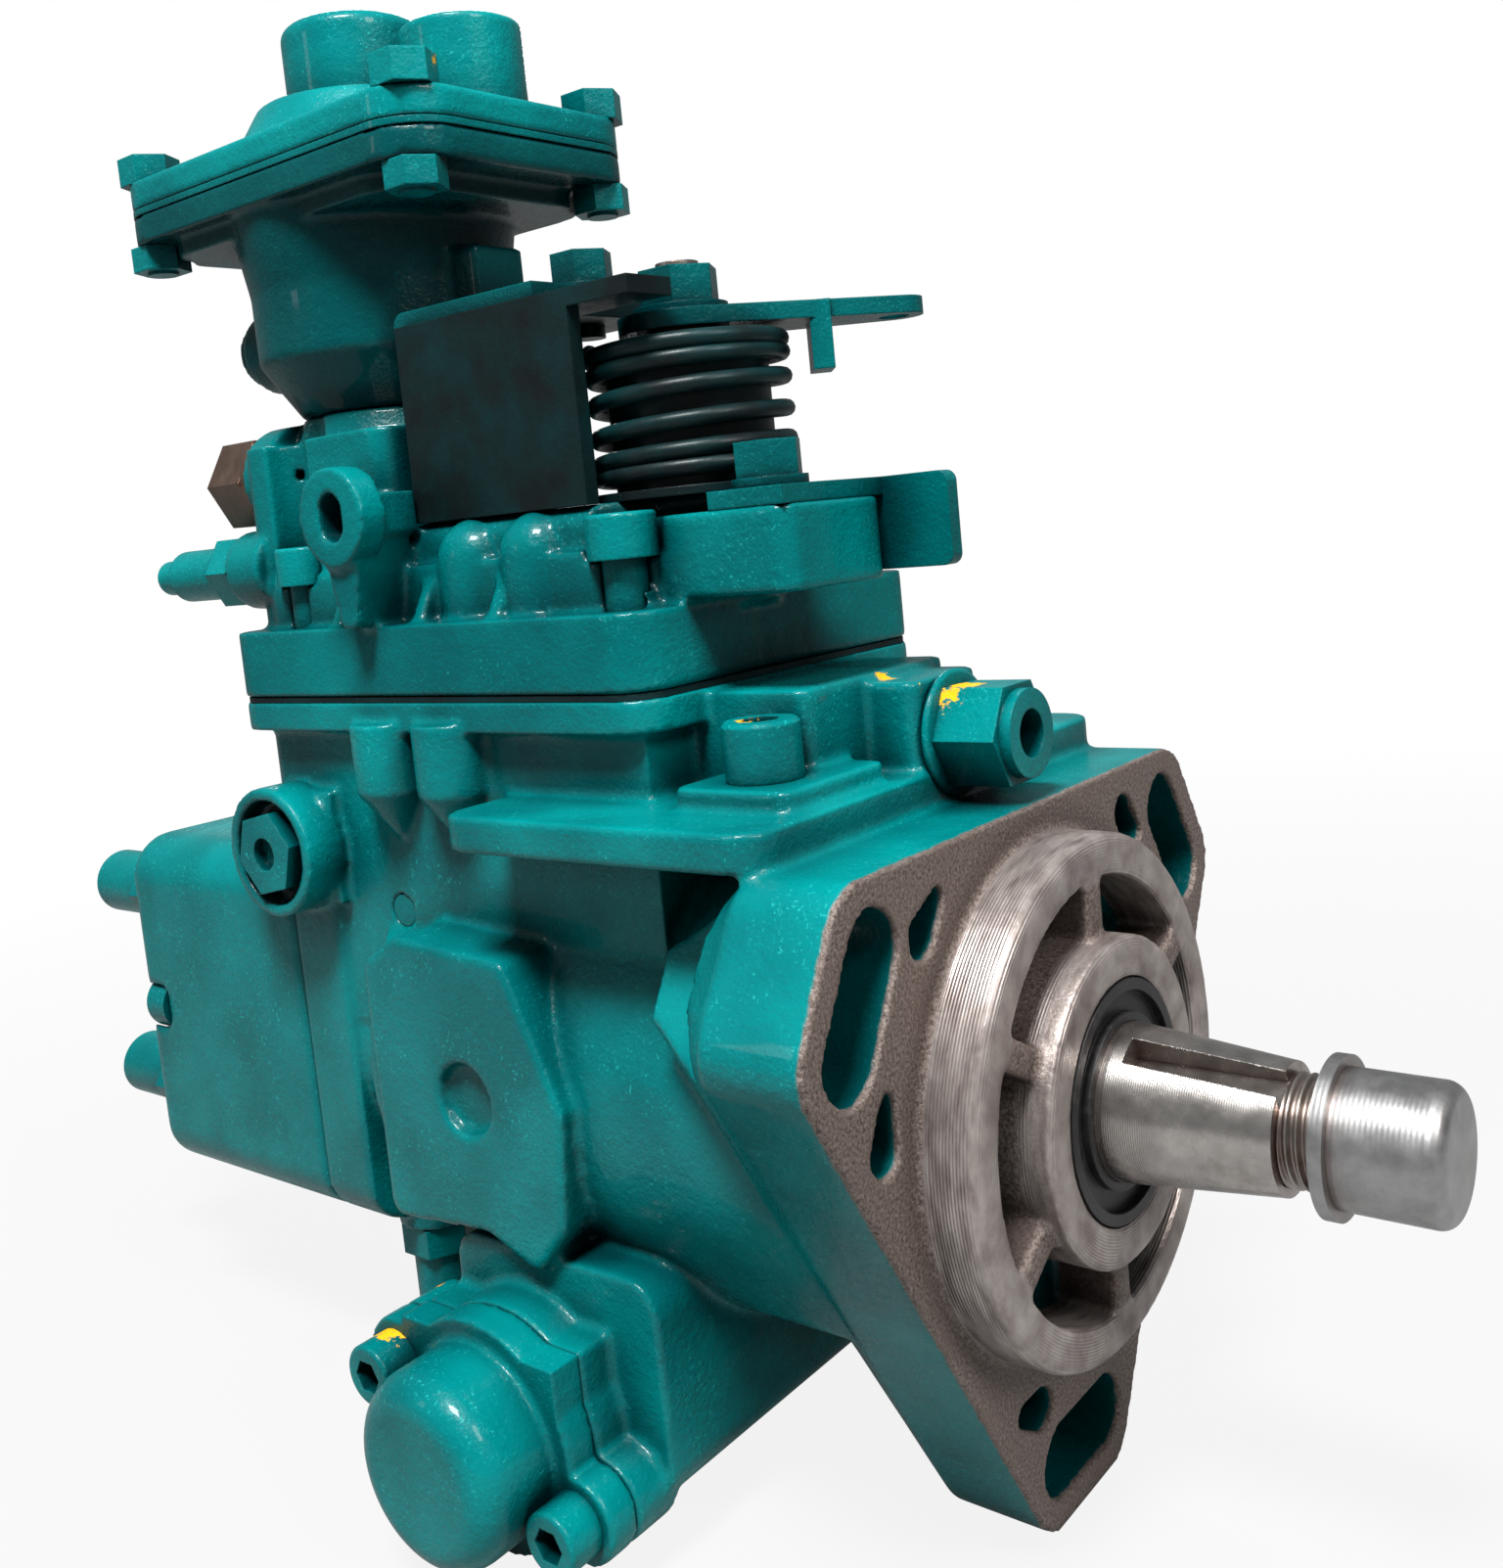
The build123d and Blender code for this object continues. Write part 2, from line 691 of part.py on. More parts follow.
def cross_disc():
    body = x_rod(DISC_R, CLAW_X - CLAW_L, CLAW_X)
    body -= x_rod(3.5, CLAW_X - CLAW_L, CLAW_X)
    for i in range(4):
        half = CLAW_ARC / 2 + 1.5
        a = polar(2 * DISC_R, -half)
        b = polar(2 * DISC_R, half)
        wedge = Polygon((0, 0), a, (2 * DISC_R, 0), b, align=None) - Circle(CLAW_IN - GAP)
        body -= Rot(90 * i, 0, 0) * x_plate(wedge, CLAW_X - CLAW_L, CLAW_X)
    return body


def cam_front_x():
    return RING_X - RING_T - ROLLER_OUT - GAP


def cam_plate():
    peak = cam_front_x()
    base = peak - LOBE_H
    back = base - CAM_T
    body = x_rod(CAM_R, back, base)
    ring = x_rod(CAM_R, back, peak) - x_rod(RING_BORE, back, peak)
    for i in range(ROLLER_N):
        hump = z_rod(LOBE_BULGE, 0, CAM_R + 5, peak - LOBE_BULGE, 0)
        body += Rot(i * 360 / ROLLER_N, 0, 0) * hump & ring
    body += x_rod(CLAW_IN - 1, base, CLAW_X - CLAW_L - 1)
    body += x_rod(CLAW_OUT, base, base + 4)
    for a in (90, 270):
        body += Rot(a, 0, 0) * claw(base, CLAW_X)
    return body


def cam_back_x():
    return cam_front_x() - LOBE_H - CAM_T


def plunger():
    x1 = cam_back_x()
    body = x_rod(FOOT_R, x1 - FOOT_T, x1) + x_rod(PLUNGER_R, PLUNGER_END, x1)
    body -= x_rod(1.2, PLUNGER_END, SLEEVE_X - SLEEVE_L / 2)
    body -= z_rod(1.2, -PLUNGER_R - 1, PLUNGER_R + 1, SLEEVE_X - SLEEVE_L / 2 + 2.0, 0)
    for i in range(4):
        groove = block(PLUNGER_END, PLUNGER_END + 10, -1.2, 1.2, PLUNGER_R - 1.0, PLUNGER_R + 1)
        body -= Rot(90 * i + 45, 0, 0) * groove
    return body


# Roller ring

def roller_x():
    return RING_X - RING_T - ROLLER_OUT + ROLLER_R


def roller_ring():
    body = x_rod(RING_R, RING_X - RING_T, RING_X) - x_rod(RING_BORE, RING_X - RING_T, RING_X)
    for i in range(ROLLER_N):
        a = ROLLER_TURN + 360 * i / ROLLER_N
        z0 = ROLLER_AT - ROLLER_L / 2 - GAP
        z1 = ROLLER_AT + ROLLER_L / 2 + GAP
        pocket = z_rod(ROLLER_R + GAP, z0, z1, roller_x(), 0)
        mouth = block(RING_X - RING_T, roller_x(), -ROLLER_R - GAP, ROLLER_R + GAP, z0, z1)
        body -= Rot(a, 0, 0) * (pocket + mouth)
        body -= Rot(a, 0, 0) * z_rod(PIN_R, RING_BORE - 1, RING_R + 1, roller_x(), 0)
    body -= z_rod(PIVOT_R, -RING_R - 1, 2 - RING_BORE, TIMING_X, 0)
    return body


def rollers():
    z0 = ROLLER_AT - ROLLER_L / 2
    one = z_rod(ROLLER_R, z0, z0 + ROLLER_L, roller_x(), 0)
    one += z_rod(PIN_R, z0 - 0.5, RING_R - 0.3, roller_x(), 0)
    return group([Rot(ROLLER_TURN + 360 * i / ROLLER_N, 0, 0) * one for i in range(ROLLER_N)])


def advance_pin():
    return z_rod(PIVOT_R, TIMING_Z, -RING_BORE - 0.5, TIMING_X, 0)


# Plunger springs, bridge and control sleeve

def bridge_x():
    return cam_back_x() - FOOT_T - GAP


def spring_bridge():
    x1 = bridge_x()
    x0 = x1 - BRIDGE_T
    half = SPRING_AT + SPRING_R
    body = block(x0, x1, -half, half, -SPRING_R, SPRING_R)
    body += x_rod(PLUNGER_R + 3, x0, x1)
    body = fillet(body.edges().filter_by(Axis.X), 1.5)
    body -= x_rod(PLUNGER_R + GAP, x0, x1)
    return body


def plunger_springs():
    x1 = bridge_x() - BRIDGE_T
    x0 = REAR_X + SPIGOT_L
    one = Rot(0, -90, 0) * coil(SPRING_R - SPRING_WIRE, SPRING_WIRE, 5, x1 - x0)
    return group([Pos(x1, s * SPRING_AT, 0) * one for s in (-1, 1)])


def control_sleeve():
    x1 = SLEEVE_X
    body = x_rod(SLEEVE_R, x1 - SLEEVE_L, x1) - x_rod(PLUNGER_R + RUN, x1 - SLEEVE_L, x1)
    mid = x1 - SLEEVE_L / 2
    half = SLEEVE_GROOVE / 2 + 0.2
    body -= x_rod(SLEEVE_R + 1, mid - half, mid + half) - x_rod(SLEEVE_R - SLEEVE_GROOVE_D, mid - half, mid + half)
    return body


# Distributor head

def outlet_places():
    return [polar(OUTLET_R, OUTLET_TURN + 360 * i / OUTLET_N) for i in range(OUTLET_N)]


def distributor_head():
    outline = RectangleRounded(2 * HEAD_HALF, 2 * HEAD_HALF, HEAD_ROUND)
    body = x_plate(outline, HEAD_END, REAR_X)
    body = fillet(body.edges().sort_by(Axis.X)[:8], 2.5)
    body += x_rod(NECK_BORE - SEAT, REAR_X, REAR_X + SPIGOT_L)
    body -= x_rod(BARREL_OUT, HEAD_END - 1, REAR_X + SPIGOT_L + 1)
    for y, z in outlet_places():
        body -= x_rod(HOLDER_R, HEAD_END - 1, HEAD_END + HOLDER_IN, y, z)
    for y, z in head_bolt_places():
        body -= x_rod(HEAD_BOLT_R + SEAT, HEAD_END - 1, REAR_X + 1, y, z)
        body -= x_rod(HEAD_BOLT_R + 2.3, HEAD_END - 1, HEAD_END + HEAD_BOLT_SINK, y, z)
    return body


def plunger_barrel():
    x0 = HEAD_END + 12
    x1 = REAR_X + SPIGOT_L - 0.5
    body = x_rod(BARREL_OUT, x0, x1) - x_rod(PLUNGER_R + RUN, x0, x1)
    for i in range(OUTLET_N):
        port = z_rod(1.5, PLUNGER_R, BARREL_OUT + 1, x0 + 9, 0)
        body -= Rot(45 + 90 * i, 0, 0) * port
    return body


def head_plug():
    body = x_rod(BARREL_OUT, HEAD_END, HEAD_END + 10)
    body += x_hex(19.0, HEAD_END - 6, HEAD_END)
    body -= x_rod(3.0, HEAD_END - 7, HEAD_END - 1)
    return body


def delivery_holders():
    made = []
    for y, z in outlet_places():
        hex_end = HEAD_END - HOLDER_HEX_T
        tip = HEAD_END - HOLDER_OUT
        body = x_rod(HOLDER_R, HEAD_END, HEAD_END + HOLDER_IN - 0.3, y, z)
        body += x_hex(HOLDER_HEX, hex_end, HEAD_END, y, z)
        body += x_rod(HOLDER_R, tip + 2, hex_end, y, z)
        body += x_cone(HOLDER_R - 1.6, HOLDER_R, tip, tip + 2, y, z)
        body -= x_rod(1.6, tip - 1, HEAD_END + HOLDER_IN, y, z)
        body -= x_cone(3.6, 1.6, tip, tip + 3, y, z)
        made.append(body)
    return group(made)


def socket_head(r, head_r, head_t, length):
    """A socket screw standing on z=0, its shank down to -length."""
    body = z_rod(head_r, 0, head_t) + z_rod(r, -length, 0)
    body = fillet(body.edges().sort_by(Axis.Z)[-1:], 0.6)
    return body - z_hex(1.7 * r, head_t * 0.4, head_t + 1)


def head_bolts():
    seat = HEAD_END + HEAD_BOLT_SINK
    long = REAR_X + HEAD_BOLT_IN - 0.5 - seat
    bolt = Rot(0, -90, 0) * socket_head(HEAD_BOLT_R, HEAD_BOLT_R + 2, HEAD_BOLT_SINK - 1, long)
    return group([Pos(seat, y, z) * bolt for y, z in head_bolt_places()])


# Timing device

def timing_piston():
    body = y_rod(TIMING_R, -PISTON_HALF, PISTON_HALF, TIMING_X, TIMING_Z)
    body -= y_rod(TIMING_SPRING_R + 1, PISTON_HALF - 6, PISTON_HALF, TIMING_X, TIMING_Z)
    slot = PIVOT_R + GAP
    lag = TIMING_TRAVEL * TIMING_R / -TIMING_Z
    lead = TIMING_TRAVEL * PIN_POCKET_D / -TIMING_Z
    z0 = TIMING_Z - PIN_POCKET_D
    z1 = TIMING_Z + TIMING_R + 1
    body -= block(TIMING_X - slot, TIMING_X + slot, -slot - lag, slot + lead, z0, z1)
    for y in (-PISTON_HALF + 3, -PISTON_HALF + 6):
        ring = y_rod(TIMING_R + 1, y, y + 1.2, TIMING_X, TIMING_Z)
        body -= ring - y_rod(TIMING_R - 0.8, y, y + 1.2, TIMING_X, TIMING_Z)
    return body


def timing_spring():
    y0 = PISTON_HALF - 6
    one = Rot(-90, 0, 0) * coil(TIMING_SPRING_R - 1, 1.0, 7, TIMING_Y - y0)
    return Pos(TIMING_X, y0, TIMING_Z) * one


def timing_plate(y0, y1):
    plate = Pos(TIMING_X, TIMING_Z) * timing_outline(-1)
    body = y_plate(plate, y0, y1)
    for x, z in timing_bolt_places(-1):
        body -= y_rod(TIMING_BOLT_R + SEAT, y0 - 1, y1 + 1, x, z)
    return body


def timing_covers():
    y1 = -TIMING_Y
    y0 = y1 - TIMING_COVER_T
    dome = y_rod(DOME_R, y0 - DOME_L, y0 + 1, TIMING_X, TIMING_Z)
    dome = fillet(dome.edges().sort_by(Axis.Y)[:1], 4.5)
    body = timing_plate(y0, y1) + dome
    body -= y_rod(TIMING_R, y0 - 3, y1 + 1, TIMING_X, TIMING_Z)
    far = Pos(TIMING_X, 0, 0) * Rot(0, 0, 180) * Pos(-TIMING_X, 0, 0) * body
    return group([body, far])


def timing_bolts():
    made = []
    for side in (-1, 1):
        seat = side * (TIMING_Y + TIMING_COVER_T)
        bolt = socket_head(TIMING_BOLT_R, 4.4, 5.5, TIMING_COVER_T + TIMING_BOLT_IN - 0.5)
        for x, z in timing_bolt_places(side):
            made.append(Pos(x, seat, z) * Rot(-side * 90, 0, 0) * bolt)
    return group(made)


# Governor

def governor_shaft():
    return x_rod(GOV_SHAFT_R, GOV_SHAFT_END, CHAMBER_X1 + GOV_SHAFT_IN - 0.2, 0, GOV_Z)


def governor_cage():
    x1 = GEAR_X - GEAR_T
    x0 = x1 - CAGE_T
    turn = 180 / GOV_TEETH
    body = x_plate(Pos(0, GOV_Z) * Rot(0, 0, turn) * gear_outline(GOV_TEETH), x1, GEAR_X)
    body += x_rod(WEIGHT_OUT, x0, x1, 0, GOV_Z)
    for i in range(WEIGHT_N):
        for y in (WEIGHT_W / 2 + GAP, -WEIGHT_W / 2 - GAP - CHEEK_T):
            cheek = block(x0 - 4.0, x1, y, y + CHEEK_T, WEIGHT_IN - 0.4, WEIGHT_OUT - 1)
            body += Pos(0, 0, GOV_Z) * Rot(90 * i, 0, 0) * cheek
    body -= x_rod(GOV_SHAFT_R + RUN, x0 - 1, GEAR_X + 1, 0, GOV_Z)
    return body


def weight_pivot():
    return (GEAR_X - GEAR_T - CAGE_T - 2.0, 10.5)


def flyweight(i):
    px = weight_pivot()[0]
    x1 = px + 0.2
    body = block(x1 - WEIGHT_L, x1, -WEIGHT_W / 2, WEIGHT_W / 2, WEIGHT_IN, WEIGHT_OUT)
    body += block(x1 - 2.5, x1, -2.0, 2.0, 4.7, WEIGHT_IN + 1)
    body &= x_rod(WEIGHT_OUT, x1 - WEIGHT_L, x1)
    return Pos(0, 0, GOV_Z) * Rot(90 * i, 0, 0) * body


def governor_sleeve():
    x1 = weight_pivot()[0] - 2.9
    body = x_rod(GOV_SLEEVE_R, GOV_SLEEVE_TIP, x1, 0, GOV_Z)
    body = fillet(body.edges().sort_by(Axis.X)[:1], GOV_SLEEVE_NOSE)
    body -= x_rod(GOV_SHAFT_R + RUN, GOV_SHAFT_END - 3.5, x1 + 1, 0, GOV_Z)
    return body


def tension_lever():
    x0 = LEVER_X - LEVER_T
    half = LEVER_W / 2
    body = block(x0, LEVER_X, -half, half, LEVER_PIVOT_Z, LEVER_TOP)
    body = fillet(body.edges().filter_by(Axis.X), 2.0)
    body += y_rod(LEVER_PIN_R + 2.2, -half, half, LEVER_PIVOT_X, LEVER_PIVOT_Z)
    mid = SLEEVE_X - SLEEVE_L / 2
    foot_z = SLEEVE_R + 2.0
    pz = LEVER_PIVOT_Z
    arm = Polygon((-95.5, pz), (-91.5, pz - 3), (mid + 1.3, foot_z), (mid - 1.3, foot_z), align=None)
    body += y_plate(arm, -2.0, 2.0)
    body += z_rod(0.9, foot_z - 1.5, foot_z + 1, mid, 0)
    body += Pos(mid, 0, foot_z - 1.5) * Sphere(1.4)
    body -= y_rod(LEVER_PIN_R + RUN, -half - 1, half + 1, LEVER_PIVOT_X, LEVER_PIVOT_Z)
    body -= x_rod(1.6, x0 - 1, LEVER_X + 1, GOV_SPRING_Y, GOV_SPRING_Z)
    return body


def lever_pin():
    half = DECK_Y - 3.2
    return y_rod(LEVER_PIN_R, -half, half, LEVER_PIVOT_X, LEVER_PIVOT_Z)


def governor_spring():
    x1 = CRANK_X - CRANK_PIN_R - 0.4
    x0 = LEVER_X + 0.3
    one = Rot(0, 90, 0) * coil(GOV_SPRING_R - 0.8, 0.8, 9, x1 - x0)
    return Pos(x0, GOV_SPRING_Y, GOV_SPRING_Z) * one


# Governor cover

def cover_z():
    return DECK_Z + GASKET_T


def cover_shell():
    z0 = cover_z()
    z1 = z0 + COVER_T
    body = z_plate(deck_outline(), z0, z1)
    body += z_plate(deck_outline(COVER_IN), z1 - 1, FRONT_Z)
    x0 = DECK_X0 + COVER_IN
    x1 = DECK_X1 - 4
    ramp = Polygon((x0, z1 - 1), (x1, z1 - 1), (x1, z1 + 2), (x1 - 7, ROOF_Z), (x0, ROOF_Z), align=None)
    near = DECK_Y - COVER_IN - 2
    roof = y_plate(ramp, -near, ROOF_Y1)
    body += fillet(roof.edges().filter_by(Axis.X), 3.0)
    tower = block(TOWER_X0, TOWER_X1, TOWER_Y0, TOWER_Y1, z1 - 1, TOWER_Z - 4)
    body += fillet(tower.edges().filter_by(Axis.Z), 4.0)
    body += z_cone(BOOST_NECK_R + 1.5, BOOST_NECK_R, TOWER_Z - 4, TOWER_Z, BOOST_X, BOOST_Y)
    body += z_rod(CRANK_R + 2, z1 - 1, ROOF_Z, THR_X, THR_Y)
    lug = block(DECK_X1 - 8, TAB_X1 + 0.5, TAB_Y - 6.5, TAB_Y1 - GAP, LUG_Z0, ROOF_Z - 2.5)
    body += fillet(lug.edges().filter_by(Axis.Z), 3.0)
    return body


def cover_details():
    z1 = cover_z() + COVER_T
    wall = DECK_Y - COVER_IN
    body = y_rod(EYE_R, -EYE_Y, -EYE_Y + 4.5, EYE_X, EYE_Z)
    rib = Polygon((EYE_X - 5, EYE_Z), (EYE_X + 5, EYE_Z), (EYE_X + 1.5, z1), (EYE_X - 1.5, z1), align=None)
    body += y_plate(rib, 1 - EYE_Y, 1 - wall)
    body += block(EYE_X - 5, EYE_X + 5, -EYE_Y + 2, -wall + 2, EYE_Z - 3, EYE_Z + 3)
    side = Polygon((-wall + 1, FRONT_Z), (-wall + 1, z1 - 1), (-wall - 4, z1 - 1), align=None)
    for x in (-99.0, -80.0, -64.0):
        body += x_plate(side, x - 1.2, x + 1.2)
    for x in (-73.0, -60.0):
        body += z_rod(6.0, z1, FRONT_Z, x, 4 - wall)
        body += Pos(x, 4 - wall, FRONT_Z) * Sphere(6.0)
    body += x_rod(6.5, TOWER_X0 - 4, TOWER_X0 + 5, FULL_Y, FULL_Z)
    body += x_rod(8.5, TOWER_X0 - 1.5, TOWER_X0 + 5, REAR_PLUG_Y, REAR_PLUG_Z)
    return body


def cover_cuts():
    z0 = cover_z()
    cut = block(CHAMBER_X0, CHAMBER_X1, -CHAMBER_Y, CHAMBER_Y, z0 - 1, z0 + COVER_T - 2)
    cut += block(CHAMBER_X0, CHAMBER_X1 - 8, -CHAMBER_Y, ROOF_Y1 - 3.5, z0 - 1, ROOF_Z - COVER_WALL)
    cut += z_rod(BUSH_OUT, z0, ROOF_Z + 1, THR_X, THR_Y)
    cut += z_rod(CRANK_R, z0, ROOF_Z - COVER_WALL, THR_X, THR_Y)
    cut += z_rod(BOOST_PIN_R + RUN, ROOF_Z - COVER_WALL - 1, TOWER_Z + 1, BOOST_X, BOOST_Y)
    cut += x_rod(FULL_R, TOWER_X0 - 5, FULL_IN_X + 0.5, FULL_Y, FULL_Z)
    cut += x_rod(REAR_PLUG_R, TOWER_X0 - 3, TOWER_X0 + 9, REAR_PLUG_Y, REAR_PLUG_Z)
    for x, y in cover_bolt_places():
        cut += z_rod(COVER_BOLT_R + SEAT, z0 - 1, ROOF_Z, x, y)
        cut += z_rod(COVER_HEAD_R + 0.6, COVER_SEAT_Z, ROOF_Z + 30, x, y)
    slot = Pos(EYE_X, EYE_Z) * Rot(0, 0, 90) * SlotOverall(7.0, 5.0)
    cut += y_plate(slot, -EYE_Y - 1, 6 - EYE_Y)
    for x, y, z in bracket_bolt_seats():
        cut += z_rod(FOOT_BOLT_R, z - BRACKET_BOLT_L - 0.4, z + 1, x, y)
    return cut


def bracket_bolt_seats():
    places = [(x, FOOT_BOLT_Y, ROOF_Z + SHEET_T) for x in FOOT_BOLTS_X]
    places.append((TAB_X, TAB_Y, ROOF_Z - 2.5 + SHEET_T))
    return places


def governor_cover():
    body = cover_shell() + cover_details()
    body -= cover_cuts()
    return body


def cover_gasket():
    body = z_plate(deck_outline(0.3), DECK_Z, cover_z())
    body -= block(CHAMBER_X0, CHAMBER_X1, -CHAMBER_Y, CHAMBER_Y, DECK_Z - 1, cover_z() + 1)
    for x, y in cover_bolt_places():
        body -= z_rod(COVER_BOLT_R + SEAT, DECK_Z - 1, cover_z() + 1, x, y)
    return body


def cover_bolts():
    long = COVER_SEAT_Z - DECK_Z + COVER_BOLT_IN - 0.5
    bolt = socket_head(COVER_BOLT_R, COVER_HEAD_R, 6.0, long)
    return group([Pos(x, y, COVER_SEAT_Z) * bolt for x, y in cover_bolt_places()])


# Throttle shaft group

def throttle_bush():
    z0 = ROOF_Z - COVER_WALL
    z1 = THR_PLATE_Z - GAP
    body = z_rod(BUSH_OUT, z0, z1, THR_X, THR_Y)
    body += z_rod(COIL_R + COIL_WIRE, ROOF_Z, ROOF_Z + SEAT_WASHER_T, THR_X, THR_Y)
    body += z_rod(COIL_R - COIL_WIRE - 0.8, ROOF_Z, THR_PLATE_Z - 1.5, THR_X, THR_Y)
    return body - z_rod(THR_R + RUN, z0 - 1, z1 + 1, THR_X, THR_Y)


def throttle_shaft():
    z0 = ROOF_Z - COVER_WALL - GAP - 3.0
    body = z_rod(THR_R, z0, THR_PLATE_Z, THR_X, THR_Y)
    body += z_rod(STUD_TOP_R, THR_PLATE_Z, THR_TOP_Z, THR_X, THR_Y)
    web = make_hull((Pos(THR_X, THR_Y) * Circle(5.5) + Pos(CRANK_X, GOV_SPRING_Y) * Circle(2.0)).edges())
    body += z_plate(web, z0, z0 + 3.0)
    body += z_rod(CRANK_PIN_R, GOV_SPRING_Z - 1.5, z0, CRANK_X, GOV_SPRING_Y)
    return body


def throttle_lever():
    hub = Pos(THR_X, THR_Y) * Circle(9.0)
    tip = Pos(TIP_X, TIP_Y) * Circle(4.2)
    arm = make_hull((hub + tip).edges())
    z0 = THR_PLATE_Z
    body = z_plate(arm, z0, z0 + LEVER_PLATE_T)
    lug = Pos(THR_X, THR_Y) * Rot(0, 0, LUG_TURN) * Pos(COIL_R + 5.5, 0) * Rectangle(3.0, 7.0)
    body += z_plate(lug, z0 - LUG_DROP, z0 + LEVER_PLATE_T)
    body -= z_rod(STUD_TOP_R, z0 - 1, z0 + 5, THR_X, THR_Y)
    body -= z_rod(2.2, z0 - 1, z0 + 5, TIP_X, TIP_Y)
    return body


def lever_nut():
    z0 = THR_PLATE_Z + LEVER_PLATE_T
    body = z_rod(6.6, z0, z0 + WASHER_T, THR_X, THR_Y)
    body += z_hex(10.0, z0 + WASHER_T, z0 + WASHER_T + 5, THR_X, THR_Y)
    return body - z_rod(STUD_TOP_R, z0 - 1, z0 + 9, THR_X, THR_Y)


def return_spring():
    z0 = ROOF_Z + SEAT_WASHER_T
    one = coil(COIL_R, COIL_WIRE, COIL_TURNS, THR_PLATE_Z - 0.5 - z0)
    return Pos(THR_X, THR_Y, z0) * one


def cable_bracket():
    t = SHEET_T
    y0 = BRACKET_Y
    top = TOP_PLATE_Z
    body = block(BRACKET_X0, BRACKET_X1, y0, y0 + t, ROOF_Z, top + t)
    body += block(BRACKET_X0, FOOT_X1, y0, FOOT_Y1, ROOF_Z, ROOF_Z + t)
    body += block(BRACKET_X0, THR_X - 9.5, y0, THR_Y + 8, top, top + t)
    body += block(BRACKET_X0, THR_X + 7, y0, THR_Y - 10, top, top + t)
    body -= z_rod(FOOT_BOLT_R + SEAT, top - 1, top + 4, STOP_X, STOP_Y)
    for x in FOOT_BOLTS_X:
        body -= z_rod(FOOT_BOLT_R + SEAT, ROOF_Z - 1, ROOF_Z + 4, x, FOOT_BOLT_Y)
    return body


def bracket_bolts():
    bolt = z_rod(5.0, 0, WASHER_T) + z_hex(8.0, WASHER_T, WASHER_T + 4.6)
    bolt += z_rod(FOOT_BOLT_R, -BRACKET_BOLT_L, 0)
    places = bracket_bolt_seats()
    places.append((STOP_X, STOP_Y, TOP_PLATE_Z + 2 * SHEET_T))
    return group([Pos(*place) * bolt for place in places])


def bent_plate():
    t = SHEET_T
    z0 = TOP_PLATE_Z + t
    top = block(BRACKET_X0, STOP_X + 6, BRACKET_Y + 2, THR_Y + 6, z0, z0 + t)
    side = block(BRACKET_X0 - t, BRACKET_X0, BRACKET_Y + 2, THR_Y + 6, BENT_Z, z0 + t)
    body = top + side
    edge = body.edges().filter_by(Axis.Y).sort_by(Axis.Z)[-2:].sort_by(Axis.X)[:1]
    body = fillet(edge, t * 0.9)
    return body - z_rod(FOOT_BOLT_R + SEAT, z0 - 1, z0 + 4, STOP_X, STOP_Y)


def tab_bracket():
    z0 = ROOF_Z - 2.5
    t = SHEET_T
    base = block(TAB_X0, TAB_X1, TAB_Y - 6, TAB_Y1, z0, z0 + t)
    base -= z_rod(COIL_R + COIL_WIRE + 1.2, z0 - 1, z0 + 5, THR_X, THR_Y)
    arm = block(TAB_X0 + 5, TAB_END_X, TAB_Y1, TAB_Y1 + t, z0 - TAB_DROP, z0 + t)
    body = base + fillet(arm.edges().filter_by(Axis.Y), 1.5)
    return body - z_rod(FOOT_BOLT_R + SEAT, z0 - 1, z0 + 4, TAB_X, TAB_Y)


# Boost compensator

def boost_bolt_places():
    made = []
    for sx in (-1, 1):
        for sy in (-1, 1):
            made.append((BOOST_X + sx * BOOST_DX, BOOST_Y + sy * BOOST_DY))
    return made


def boost_outline():
    return Pos(BOOST_X, BOOST_Y) * RectangleRounded(2 * BOOST_HX, 2 * BOOST_HY, BOOST_ROUND)


def boost_housing():
    x, y = BOOST_X, BOOST_Y
    rim = BOOST_RIM_Z
    body = z_cone(BOOST_NECK_R, BOOST_MID_R, TOWER_Z, TOWER_Z + 9, x, y)
    body += z_rod(BOOST_MID_R, TOWER_Z + 9, rim - 12, x, y)
    body += z_cone(BOOST_MID_R, BOOST_BOWL_R, rim - 12, rim, x, y)
    body += z_plate(boost_outline(), rim, rim + BOOST_RIM_T)
    lower = Pos(BOOST_X, BOOST_Y) * RectangleRounded(2 * BOOST_HX - 14, 2 * BOOST_HY - 6, BOOST_ROUND)
    body += z_plate(lower, rim - 3, rim)
    body += block(x + 17, x + 27, y - 4, y + 6, rim - 19, rim - 9)
    body += x_rod(7.0, x - 24, x - 17, NECK_PLUG_Y, NECK_PLUG_Z)
    body += x_rod(5.6, x - 27, x - 24, NECK_PLUG_Y, NECK_PLUG_Z)
    body -= z_rod(DIAPHRAGM_R, rim - 3.5, rim + BOOST_RIM_T, x, y)
    body -= z_rod(BOOST_SPRING_R + 1, BOOST_SPRING_Z, rim + 1, x, y)
    body -= z_rod(BOOST_PIN_R + RUN, TOWER_Z, BOOST_SPRING_Z + 1, x, y)
    body -= x_hex(5.0, x - 28, x - 24.5, NECK_PLUG_Y, NECK_PLUG_Z)
    for bx, by in boost_bolt_places():
        body -= z_rod(2.5 + SEAT, rim - 4, rim + 6, bx, by)
        body -= z_rod(5.2, rim - 4, rim, bx, by)
    return body


def diaphragm():
    z0 = BOOST_RIM_Z + BOOST_RIM_T
    body = z_plate(boost_outline(), z0, z0 + DIAPHRAGM_T)
    for bx, by in boost_bolt_places():
        body -= z_rod(2.5 + SEAT, z0 - 1, z0 + 3, bx, by)
    return body


